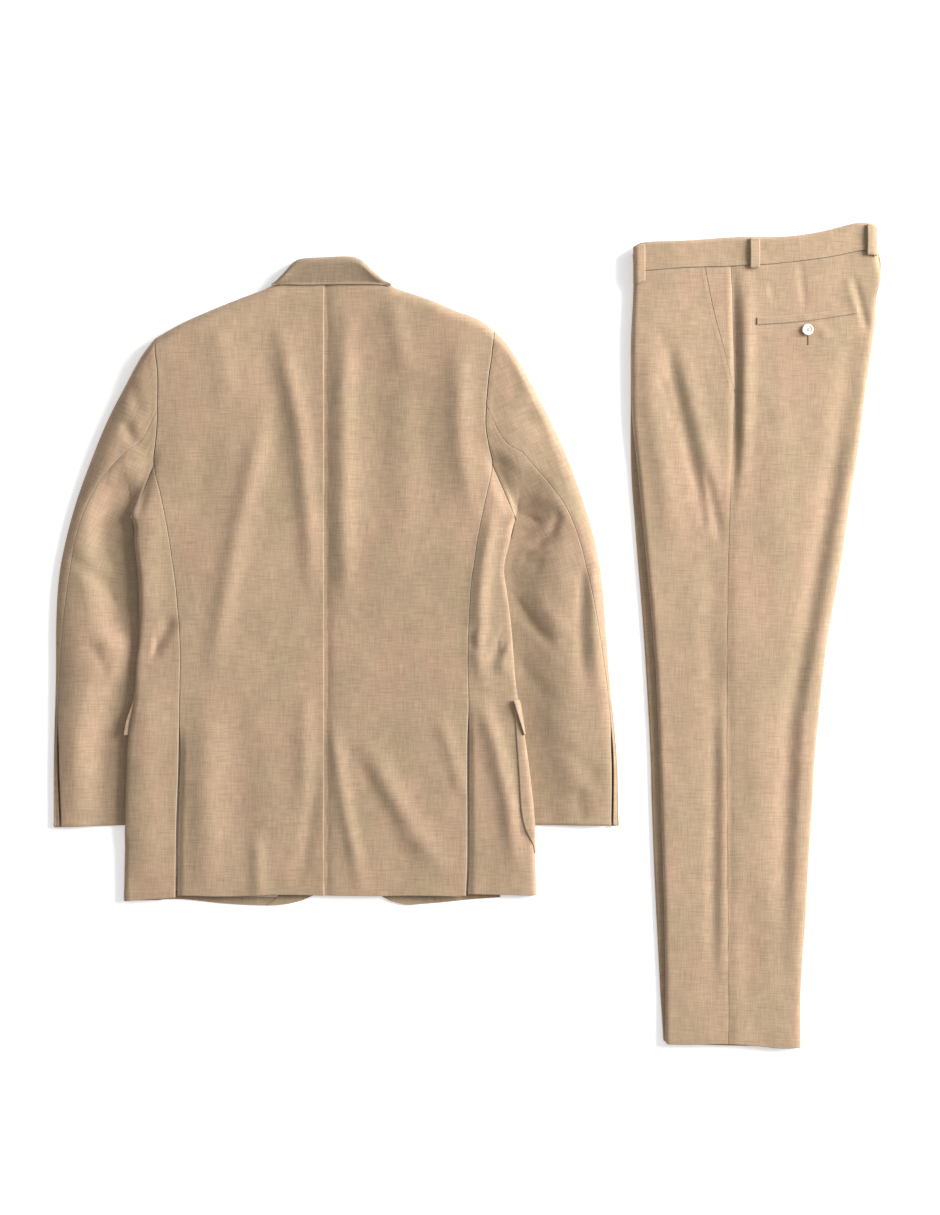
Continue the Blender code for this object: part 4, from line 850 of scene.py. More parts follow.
# Folds of the body's upper side: half width, height, and the x and y of each point of their line
BODY_FOLDS = (
    (12, 2.9, -64, 745, -45, 654, -30, 581, -19, 456, -14, 350),
    (13, 2.6, -66, 650, -78, 588, -93, 519, -108, 456, -133, 319, -142, 250),
    (16, 1.4, -130, 720, -125, 600),
    (20, -1.6, -80, 720, -62, 600, -52, 470),
    (22, -1.5, -150, 600, -158, 430),
    (13, 3.2, 28, 765, 25, 640, 24, 480, 27, 320),
    (24, -1.5, 64, 700, 72, 420),
    (15, 1.6, 80, 760, 94, 700, 106, 640),
    (14, 2.2, 168, 720, 170, 569, 179, 506, 192, 455),
    (20, -1.5, 128, 660, 132, 430),
    (10, 3.4, 215, 510, 197, 394, 191, 306, 203, 240),
    (11, 3.2, 190, 262, 213, 190, 231, 110, 240, 20),
    (7, -2.0, 236, 345, 211, 288),
    (6, -1.4, 196, 352, 184, 322, 190, 296),
    (8, 1.8, 232, 322, 222, 296, 224, 270),
    (9, 2.2, 8, 235, 14, 187, 24, 119, 50, -12),
    (15, 2.7, 44, 205, 72, 150, 112, 76, 165, 22),
    (10, -0.8, 40, 180, 66, 128, 104, 62),
    (10, 1.5, 140, 235, 158, 180, 176, 115),
    (9, -1.3, -8, 165, -18, 90, -32, 5),
    (20, 2.6, -144, 270, -148, 120, -146, -30),
    (12, 1.6, -24, 270, -24, 100),
    (9, 1.7, -84, 85, -82, -20),
    (22, -1.5, -104, 230, -104, 40),
    (20, 3.2, -216, 520, -224, 420, -222, 320),
    (9, -2.8, -186, 352, -202, 325, -222, 292),
    (22, 2.6, -220, 300, -226, 160, -228, -10),
    *ARM_FOLDS,
)
# The same for the sleeves' upper side
SLEEVE_FOLDS = (
    (9, -2.6, -242, 650, -236, 630, -228, 596),
    (8, -3.0, -254, 596, -246, 585, -238, 570, -212, 554),
    (8, 1.8, -282, 505, -262, 530, -240, 546, -214, 552),
    (14, 2.8, -262, 590, -275, 550, -288, 510, -295, 460, -296, 410),
    (9, -2.8, -328, 432, -300, 410, -280, 394, -246, 355),
    (24, 1.9, -316, 400, -314, 280, -318, 90),
    (8, -1.8, -296, 322, -284, 300, -268, 268),
    (14, 1.6, -268, 340, -262, 300, -260, 250),
    (12, 1.6, 236, 680, 262, 610),
    (8, -1.0, 230, 668, 240, 616),
    (12, -1.4, 232, 612, 262, 590, 290, 572),
    (5, -2.6, 226, 464, 244, 470, 262, 469, 276, 464),
    (6, -2.8, 250, 434, 268, 440, 284, 452, 292, 470, 288, 488),
    (12, 2.0, 256, 500, 286, 492, 308, 470),
    (12, -1.3, 244, 424, 276, 410),
    (7, -2.6, 218, 384, 240, 362, 262, 338, 292, 304),
    (12, 2.0, 252, 392, 276, 356, 306, 318),
    (12, -1.0, 226, 306, 256, 272, 292, 234),
    (8, -2.4, 336, 432, 323, 400, 321, 330, 326, 250),
    (9, 1.8, 340, 430, 338, 340, 344, 240),
    (12, -1.4, 286, 200, 318, 166, 352, 126),
    (10, -1.5, 318, 140, 320, 112, 324, 86),
    (16, 1.4, 270, 250, 300, 190, 316, 120),
    *ARM_FOLDS,
)


@dataclass(frozen=True)
class HalfCut:
    """The driving tables of one half of the jacket.

    Args:
        body_edge: up from the hem, out from centre back to the body's edge.
        back_edge: up from the hem, out to the side seam, and higher up to the armhole seam.
        shoulder: out from centre back, height of the neck and shoulder line.
        front_armhole: up from the hem, out, from the underside's seam to the shoulder.
        corner: out and up, where side seam meets armhole.
        underarm: out and up.
        panel_hem: out from centre back, hem height of the side panel.
        front_hem: x and y of the front's hem.
        front_edge: up from the hem, x of the front edge, and higher up of the roll line.
        sleeve_rows: along the sleeve, outer edge x, y, inner edge y, and thickness.
        elbow_seam: along the sleeve, the elbow seam's distance in from the outer edge.
        neck_out: out from centre back to the front's neck point.
        outer_roll: how wide the sleeve's outer edge rolls down.
        inner_flat: up from the hem, how far in from its inner edge the sleeve lies low.
        inner_rise: how wide the slope beside that low strip is.
        vent_top: up from the hem, where the side vent opens.
    """

    body_edge: Table
    back_edge: Table
    shoulder: Table
    front_armhole: Table
    corner: tuple[float, float]
    underarm: tuple[float, float]
    panel_hem: Table
    front_hem: Table
    front_edge: Table
    sleeve_rows: Table
    elbow_seam: Table
    neck_out: float
    outer_roll: float
    inner_flat: Table
    inner_rise: float
    vent_top: float


LEFT_CUT = HalfCut(
    body_edge=((-8, 251), (81, 249), (194, 245), (244, 237.5), (294, 234), (319, 231), (369, 231),
               (400, 232.5), (437, 237), (469, 241), (540, 290), (700, 360)),
    back_edge=((-8, 186), (84, 185), (156, 182.5), (231, 181), (311, 180), (382, 185), (420, 190),
               (460, 196), (500, 204), (537, 212.5), (566, 210), (585, 208.3), (614, 207.5), (642, 207),
               (661, 208), (675, 210), (696, 211)),
    shoulder=((0, 768), (40, 767), (62, 763), (75, 757), (105, 746), (142, 731), (180, 714), (211, 696)),
    front_armhole=((495, 198), (560, 197), (620, 200), (696, 211)),
    corner=(212.5, 537),
    underarm=(241, 469),
    panel_hem=((0, -1), (60, 0), (120, -2), (185, -1), (187, -3), (251, -8)),
    front_hem=((-215, -7), (-180, -6), (-128, -11.3), (-81, -13.8), (-50, -12.5), (-29, -8)),
    front_edge=((-8, -29), (-1, -14), (8, -5), (30, 10), (60, 25), (90, 36), (130, 43), (330, 43),
                (400, 28), (500, 0), (600, -27), (700, -55), (760, -72)),
    sleeve_rows=((0, 211, 696, 469, 20), (0.06, 229, 673, 468, 20), (0.12, 249, 637, 467, 19),
                 (0.2, 272, 592, 465, 18), (0.28, 292, 543, 462, 17), (0.36, 309, 496, 456, 17),
                 (0.44, 322, 450, 436, 16), (0.52, 331.5, 402, 398, 15.5), (0.62, 335.5, 345, 343, 15),
                 (0.74, 336, 270, 268, 14), (0.87, 338.5, 172, 171, 12.5), (1, 338.5, 84, 87, 10)),
    elbow_seam=((0, 91), (0.06, 103), (0.12, 81), (0.2, 52), (0.28, 27), (0.36, 15), (0.44, 12),
                (0.52, 13), (0.62, 9.5), (0.74, 4.5), (0.8, 4), (0.87, 5.5), (1, 8.5)),
    neck_out=72.0,
    outer_roll=46.0,
    inner_flat=((81, 32), (240, 28), (306, 10), (340, 26), (420, 36), (455, 34), (470, 24)),
    inner_rise=46.0,
    vent_top=232.0,
)
RIGHT_CUT = HalfCut(
    body_edge=((-8, 266.5), (86, 262.5), (131, 258.5), (204, 249), (261, 240), (311, 236), (340, 233.5),
               (376, 229), (409, 225), (441, 232), (470, 240), (540, 290), (700, 360)),
    back_edge=((-8, 179), (45, 181), (156, 181), (227, 181), (299, 179.6), (382, 183), (420, 188),
               (441, 191), (470, 196.5), (500, 203), (537, 210.5), (560, 206), (585, 202), (611, 202.5),
               (632, 204), (651, 206), (671, 209), (690, 211), (705, 213)),
    shoulder=((0, 768), (50, 768), (78, 764), (92, 758), (131, 745), (164, 731), (195, 719), (213, 705)),
    front_armhole=((495, 198), (560, 197), (620, 200), (705, 213)),
    corner=(210.5, 537),
    underarm=(240, 470),
    panel_hem=((0, -1), (60, -1.5), (120, -1), (178, -1.5), (181, 1), (266, -1)),
    front_hem=((84, -9), (102, -13), (124, -11.8), (151, -9.6), (182, -6.3), (230, -3)),
    front_edge=((-9, 84), (-1, 70), (10, 60), (30, 46), (60, 31), (90, 20), (130, 13), (330, 13),
                (400, 24), (500, 40), (600, 56), (700, 76), (760, 90)),
    sleeve_rows=((0, 213, 705, 470, 20), (0.06, 233, 684, 469, 20), (0.12, 256, 646, 468, 19),
                 (0.2, 281, 598, 466, 18), (0.28, 303, 551, 463, 17), (0.36, 321, 502, 457, 17),
                 (0.44, 336, 455, 437, 16), (0.52, 346, 407, 400, 15.5), (0.62, 351.5, 348, 345, 15),
                 (0.74, 357, 272, 270, 14), (0.87, 366.5, 170, 171, 12.5), (1, 368.8, 86, 87, 10)),
    elbow_seam=((0, 95), (0.06, 115), (0.12, 93), (0.2, 64), (0.28, 41.5), (0.36, 25), (0.44, 20),
                (0.52, 17.5), (0.62, 10.6), (0.74, 4.5), (0.8, 4), (0.87, 6), (1, 8.5)),
    neck_out=88.0,
    outer_roll=18.0,
    inner_flat=((81, 8), (470, 8)),
    inner_rise=70.0,
    vent_top=248.0,
)
CUTS = {Side.LEFT: LEFT_CUT, Side.RIGHT: RIGHT_CUT}

SLEEVE_MID = 5.0  # height of the sleeve's outer fold
SLEEVE_EDGE = 3.6  # height of its low strip beside the inner edge
SLEEVE_UNDER_ROLL = 6.0
ARMHOLE_SHIFT = 0.5
ARMHOLE_ROWS = (0.12, 0.15)  # the sleeve leaves the armhole's line and its height by these rows
SLEEVE_LEAN = 0.42  # how far the sleeve's grain turns above the elbow, in radians
ELBOW_AT = (295.0, 400.0)  # out and up
# up from the hem, how far the sleeve's inner edge lies under the body's edge
TUCK = ((405, 8), (425, 5), (443, 1.0), (456, -0.6), (464, -0.6), (468, -0.5), (470, -0.2))
FOREARM_SEAM = 24.0  # how far the forearm seam is in from the outer edge
CUFF_VENT = 0.8  # along the sleeve, where the cuff's vent opens
CUFF_STEP = 1.3  # how much lower the top sleeve lies in the vent
CUFF_GAPE = 2.6  # how wide the vent opens
VENT_GAPE = 2.2  # how far the back's edge stands off the side panel's in the vent
VENT_SINK = 2.2  # how far the lower layer lies below the other there

# x and rows between which the right front comes down off the left one
FRONT_OVERLAP = (49.0, 68.0)
OVERLAP_ROWS = (430.0, 460.0)
# up from the hem, width from the roll line
LAPEL_WIDTH = ((462, 40), (490, 54), (530, 70), (592, 84), (612, 66), (630, 30))
COLLAR_END_WIDTH = ((646, 44), (680, 50), (710, 44), (742, 28))
# rows between which the front rises over its lapel, and how far out it lies so
LAPEL_ROWS = (384.5, 430.0)
LAPEL_REACH = (105.0, 130.0)
POCKET_ROWS = [52.0, 68, 100, 130, 160, 190, 214, 235.0]
FLAP_ROWS = (200.0, 252.0)
# where the front rises over its pocket
POCKET_LIFT_ROWS = (14.0, 34.0, 258.0, 276.0)
POCKET_LIFT_REACH = (178.0, 200.0)
POCKET_START = 0.83  # station where the right pocket starts on the body's upper side
FLAP_TURN = 1.3  # station where the left flap leaves the body
FLAP_OUT = 5.5  # how far the left flap's corner stands out past the body
FLAP_SLANT = 8.0  # how much lower the right flap's rear end is sewn
FLAP_STAND = 2.4  # how far the right flap's rear edge stands off
FLAP_HEIGHT = 14.0  # of the left flap's corner, which lies on the sleeve
# up from the hem, station of the right pocket's and the right flap's rear edge on the body's upper side
POCKET_REAR = ((52, 0.985), (63, 0.966), (84, 0.857), (107, 0.815), (147, 0.83), (188, 0.852), (235, 0.9))
FLAP_REAR = ((200, 0.995), (204, 0.985), (243, 0.9), (252, 0.89))
POCKET_CLOTH = 1.1
FACING_TOP = 262.0  # the facing and the lining end here, out of sight
FACING_SEAM = 0.75  # station of the seam between them

# across the neck: the collar's roll line and the free edge of its fall, up from the hem
COLLAR_ROLL = ((-66, 763.5), (-62.6, 766), (-50, 778.8), (-38.9, 791), (-28.9, 796), (1, 798),
               (33.6, 798.8), (47.4, 793.8), (61, 781), (77.4, 767.5), (84, 763.5))
COLLAR_FALL = ((-66, 760.8), (-53.9, 763.2), (-28.9, 762.5), (1, 763), (34.9, 763.3), (73.6, 763),
               (84, 760.8))
COLLAR_HEIGHT = 13.0
COLLAR_CROWN = 11.0  # how much higher the fall is at its roll than at its free edge
COLLAR_MID = 6.0  # height of its roll
COLLAR_DEPTH = 4.8  # how far the stand comes down from there
COLLAR_ROLLS = (10.0, 6.0)  # how far the roll rounds above and below
COLLAR_SPRING = 1.7  # how far the fall's free edge stands off the back

# stations and rows, as shares, that the pieces need a line of points at
SIDE_STATIONS = [0.0, 0.22, 0.44, 0.64, 0.8, 0.88, 0.95, 0.985, 1.0, 1.03, 1.1, 1.3, 1.6, 2.0]
FRONT_STATIONS = [0, 0.13, 0.26, 0.4, 0.54, 0.66, 0.75, 0.82, 0.9, 1.0]
BACK_ROWS = [0, 0.2, 0.4, 0.6, 0.767, 0.84, 0.91, 0.935, 0.962, 0.98, 0.989, 0.995, 0.9985, 1.0]
FRONT_UPS = (0, 10, 22, 36, 80, 130, 190, 258, 276, 339.4, 384.5, 430.5, 461.8, 495, 530, 570, 620, 665, 688,
             696, 699, 700)
FRONT_ROWS = [up / EVEN_BACK for up in FRONT_UPS]
SIDE_UPS = (0, 16, 36, 52, 68, 100, 130, 160, 190, 214, 235, 258, 276, 305, 335, 370, 405, 430, 447, 460)
SIDE_ROWS = [up / EVEN_SIDE for up in SIDE_UPS]
SLEEVE_ROWS = [0, 0.015, 0.05, 0.1, 0.15, 0.2, 0.26, 0.32, 0.38, 0.44, 0.5, 0.58, 0.68, 0.78, 0.8, 0.87,
               0.94, 1.0]

BODY_SWELL = (Unevenness(11, 42, 70, 0.45), Unevenness(12, 17, 26, 0.16))
SLEEVE_SWELL = (Unevenness(13, 34, 46, 0.5), Unevenness(14, 15, 20, 0.18))
LEG_SWELL = (Unevenness(15, 38, 64, 0.45), Unevenness(16, 16, 24, 0.16))


def swell(layers: tuple[Unevenness, ...], x: Array, y: Array) -> Array:
    """Height of several layers of unevenness together."""
    return sum(layer.at(x, y) for layer in layers)


@dataclass
class HalfJacket:
    """One half of the jacket: its body, its sleeve, and the heights that they share.

    Args:
        side: which half it is.
    """

    side: Side

    def __post_init__(self) -> None:
        """Takes the side's tables."""
        self.sign = self.side.value
        self.cut = CUTS[self.side]
        self.shoulder_point = self.cut.shoulder[-1]

    def place(self, out: Array, up: Array, height: Array) -> Array:
        """Points from their distance out from centre back."""
        return points_of(self.sign * out, up, height)

    def edge(self, up: Array) -> Array:
        """Distance out to the body's side fold."""
        return along(self.cut.body_edge, up)

    def back_edge(self, up: Array) -> Array:
        """Distance out to the back's side seam and, above it, its armhole."""
        return along(self.cut.back_edge, up)

    def shoulder(self, out: Array) -> Array:
        """How far up the shoulder fold is."""
        return along(self.cut.shoulder, out)

    def vent(self, up: Array) -> Array:
        """0 above the side vent's top, 1 well below it."""
        return smooth((self.cut.vent_top - up) / 60)

    def side_lift(self, up: Array) -> Array:
        """1 where the body's edge lies on the sleeve, 0 elsewhere."""
        return window(up, *LIFT_ROWS)

    def side_mid(self, up: Array) -> Array:
        """Height of the body's side fold."""
        return lerp(SIDE_MID, SIDE_LIFT + 3.0, self.side_lift(up))

    def top(self, out: Array, up: Array) -> Array:
        """Height of the body's upper side."""
        x = self.sign * out
        height = lerp(along(BACK_HEIGHTS, up, 1), along(BACK_HEIGHTS, up, 2), smooth(out / 200))
        height = height + BODY_DEPTH * relief(BODY_FOLDS, x, up)
        height = np.maximum(height + swell(BODY_SWELL, x, up), self.under(x, up, flat=True) + INSIDE_ROOM)
        side = self.side_mid(up)
        height = side + (height - side) * quarter((self.edge(up) - out) / SIDE_ROLL)
        fold = SHOULDER_MID + SEAM
        return fold + (height - fold) * quarter((self.shoulder(out) - up) / SHOULDER_ROLL)

    def under(self, x: Array, up: Array, flat: bool = False) -> Array:
        """Height of the body's underside at a real x, with or without its rise to the side fold."""
        out = self.sign * x
        in_from_edge = self.edge(up) - out
        lift = SIDE_LIFT * self.side_lift(up) * fade(in_from_edge, *LIFT_REACH)
        pocket = 2 * LAYER * window(up, *POCKET_LIFT_ROWS) * fade(in_from_edge, *POCKET_LIFT_REACH)
        start, full = LAPEL_ROWS
        in_from_roll = out - self.sign * self.front_line(up)
        lapel = LAYER * smooth((up - start) / (full - start)) * fade(in_from_roll, *LAPEL_REACH)
        height = np.maximum(np.maximum(lift, pocket), lapel)
        if self.side is Side.RIGHT:
            other = LAYER + THIN_CLOTH + 2 * GAP
            height = height + other * fade(x, *FRONT_OVERLAP) * fade(up, *OVERLAP_ROWS)
        if flat:
            return height
        side = self.side_mid(up)
        height = height + (side - height) * (1 - quarter(in_from_edge / SIDE_UNDER_ROLL))
        fold = SHOULDER_MID - SEAM
        return height + (fold - height) * (1 - quarter((self.shoulder(out) - up) / SHOULDER_ROLL))

    def back(self, row: Array, station: Array) -> Array:
        """The back, from centre seam to side seam and armhole, hem to shoulder."""
        outer_up = climb(row, along(self.cut.panel_hem, 185), self.shoulder_point[1], EVEN_BACK)
        gape = VENT_GAPE * self.vent(outer_up) * smooth((station - 0.9) / 0.1)
        out = lerp(SEAM, self.back_edge(outer_up) - SEAM, station) - gape
        top_out = lerp(SEAM, self.shoulder_point[0] - SEAM, station)
        up = climb(row, along(self.cut.panel_hem, out), self.shoulder(top_out), EVEN_BACK)
        sink = VENT_SINK * self.vent(up) * smooth((station - 0.95) / 0.05)
        return self.place(out, up, self.top(out, up) - sink * (self.side is Side.LEFT))

    def side_panel(self, row: Array, station: Array) -> Array:
        """The side panel: stations 0 to 1 on the upper side, 1 to 2 on the underside."""
        above = station <= 1
        cut = self.cut
        under_top = cut.front_armhole[0][0]
        top = np.where(above, lerp(cut.corner[1], cut.underarm[1], station),
                       lerp(cut.underarm[1], under_top, station - 1))
        hem_near = np.where(above, along(cut.panel_hem, 190), along(cut.panel_hem, 240))
        share = np.where(above, station, 2 - station)
        hem = lerp(hem_near, cut.panel_hem[-1][1], share)
        up = climb(row, hem, top - SEAM, EVEN_SIDE)
        near_up = climb(row, hem_near, np.where(above, cut.corner[1], under_top), EVEN_SIDE)
        edge_up = climb(row, cut.panel_hem[-1][1], cut.underarm[1], EVEN_SIDE)
        near = np.where(above, self.back_edge(near_up), self.under_seam(near_up))
        out = lerp(near + SEAM, self.edge(edge_up), share)
        sink = VENT_SINK * self.vent(up) * smooth((0.1 - station) / 0.1) * (self.side is Side.RIGHT)
        height = np.where(above, self.top(out, up) - sink, self.under(self.sign * out, up))
        return self.place(out, up, height)

    def under_seam(self, up: Array) -> Array:
        """Distance out to the seam between side panel and front, on the underside."""
        top, top_out = self.cut.front_armhole[0]
        return lerp(self.edge(0) - SIDE_PANEL_UNDER, top_out, up / top)

    def front_outer(self, up: Array) -> Array:
        """Distance out to the front's side seam and, above it, its armhole."""
        first = self.cut.front_armhole[0][0]
        return np.where(up < first, self.under_seam(up), along(self.cut.front_armhole, up))

    def front_line(self, up: Array) -> Array:
        """Real x of the front edge and, above it, of the roll line."""
        return along(self.cut.front_edge, up)

    def around(self, up: Array, station: Array) -> Array:
        """The body at a distance up: the side panel's stations, and from 2 on the front's."""
        near = np.where(station <= 1, self.back_edge(up), self.under_seam(up))
        out = lerp(near + SEAM, self.edge(up), np.where(station <= 1, station, 2 - station))
        front_x = lerp(self.sign * (self.front_outer(up) - SEAM), self.front_line(up), station - 2)
        x = np.where(station > 2, front_x, self.sign * out)
        height = np.where(station <= 1, self.top(self.sign * x, up), self.under(x, up))
        return points_of(x, up, height)

    def front(self, row: Array, station: Array) -> Array:
        """The front, on the underside, from side seam and armhole to its edge or roll line."""
        cut, sign = self.cut, self.sign
        outer_up = climb(row, along(cut.front_hem, sign * 228), self.shoulder_point[1], EVEN_BACK)
        edge_hem = cut.front_hem[-1 if self.side is Side.LEFT else 0][1]
        neck_up = float(self.shoulder(cut.neck_out))
        edge_up = climb(row, edge_hem, neck_up, EVEN_BACK)
        x = lerp(sign * (self.front_outer(outer_up) - SEAM), self.front_line(edge_up), station)
        hem_x = lerp(sign * self.under_seam(0), self.front_line(edge_hem), station)
        top_out = lerp(self.shoulder_point[0] - SEAM, sign * self.front_line(neck_up), station)
        up = climb(row, along(cut.front_hem, hem_x), self.shoulder(top_out), EVEN_BACK)
        return points_of(x, up, self.under(x, up))

    def on_underside(self, near: Line, far: Line) -> Surface:
        """A surface on the underside between two edges, each an x for a distance up."""
        def surface(up: Array, station: Array) -> Array:
            """Rows are distances up, and stations run from near to far."""
            x = lerp(near(up), far(up), station)
            return points_of(x, up, self.under(x, up))
        return surface

    def armhole(self, share: Array, upper: Array) -> Array:
        """The armhole from the shoulder (0) to the underarm (1), on its upper or lower side."""
        cut = self.cut
        up = lerp(self.shoulder_point[1], cut.underarm[1], share)
        low_out, low_up = cut.front_armhole[0][1], cut.front_armhole[0][0]
        corner_out = np.where(upper, cut.corner[0], low_out)
        corner_up = np.where(upper, cut.corner[1], low_up)
        out = np.where(upper, self.back_edge(up), along(cut.front_armhole, up))
        t = (corner_up - up) / (corner_up - cut.underarm[1])
        out = np.where(up < corner_up, lerp(corner_out, cut.underarm[0], t), out)
        height = np.where(upper, self.top(out, up), self.under(self.sign * out, up))
        return points_of(out, up, height)

    def sleeve_row(self, row: Array) -> tuple[Array, Array, Array, Array, Array]:
        """Outer end x and y, inner end x and y, and thickness of a sleeve row."""
        table = self.cut.sleeve_rows
        inner_up = along(table, row, 3)
        inner_x = self.edge(inner_up) - along(TUCK, inner_up)
        return along(table, row, 1), along(table, row, 2), inner_x, inner_up, along(table, row, 4)

    def sleeve_width(self, row: Array) -> Array:
        """Width of the sleeve, as it lies, at a row."""
        outer_x, outer_y, inner_x, inner_y, _ = self.sleeve_row(row)
        return np.hypot(inner_x - outer_x, inner_y - outer_y)

    def sleeve(self, row: Array, station: Array) -> Array:
        """The sleeve: stations 0 to 1 above from outer to inner edge, 1 to 2 back below."""
        station = station % 2
        upper = station <= 1
        share = np.where(upper, station, 2 - station)
        outer_x, outer_y, inner_x, inner_y, thick = self.sleeve_row(row)
        start_x, start_y, end_x, end_y, _ = self.sleeve_row(np.zeros(1))
        seam = self.armhole(share, upper)
        near = np.maximum(0.0, 1 - row / ARMHOLE_ROWS[0])
        shift_x = seam[..., 0] - lerp(start_x, end_x, share) + ARMHOLE_SHIFT
        x = lerp(outer_x, inner_x, share) + shift_x * near
        up = lerp(outer_y, inner_y, share) + (seam[..., 1] - lerp(start_y, end_y, share)) * near
        length = np.hypot(inner_x - outer_x, inner_y - outer_y)
        from_outer, from_inner = share * length, (1 - share) * length
        real_x = self.sign * x
        folds = relief(SLEEVE_FOLDS, real_x, up) + swell(SLEEVE_SWELL, real_x, up)
        rise = smooth((from_inner - along(self.cut.inner_flat, inner_y)) / self.cut.inner_rise)
        above = lerp(SLEEVE_EDGE, thick, rise) + folds * smooth((from_inner - 3) / 16)
        above = np.maximum(above, SLEEVE_EDGE)
        above = SLEEVE_MID + (above - SLEEVE_MID) * quarter(from_outer / self.cut.outer_roll)
        half_edge = SLEEVE_EDGE / 2
        above = half_edge + (above - half_edge) * quarter(from_inner / half_edge)
        below = SLEEVE_MID * (1 - quarter(from_outer / SLEEVE_UNDER_ROLL))
        below = below + half_edge * (1 - quarter(from_inner / half_edge))
        height = lerp(seam[..., 2], np.where(upper, above, below), smooth(row / ARMHOLE_ROWS[1]))
        return self.place(x, up, height)

    def elbow(self, row: Array) -> Array:
        """The elbow seam as a share of the sleeve's width from its outer edge."""
        return along(self.cut.elbow_seam, row) / self.sleeve_width(row)

    def forearm(self, row: Array) -> Array:
        """The forearm seam as a station on the sleeve's underside."""
        return 1 + FOREARM_SEAM / self.sleeve_width(row)

    def sleeve_grain(self, x: Array, y: Array) -> tuple[Array, Array]:
        """Weft and warp distances on the sleeve, whose grain bends at the elbow."""
        lean = self.sign * SLEEVE_LEAN * smooth((y - 330) / 150)
        x, y = x - self.sign * ELBOW_AT[0], y - ELBOW_AT[1]
        return x * np.cos(lean) + y * np.sin(lean), y * np.cos(lean) - x * np.sin(lean)


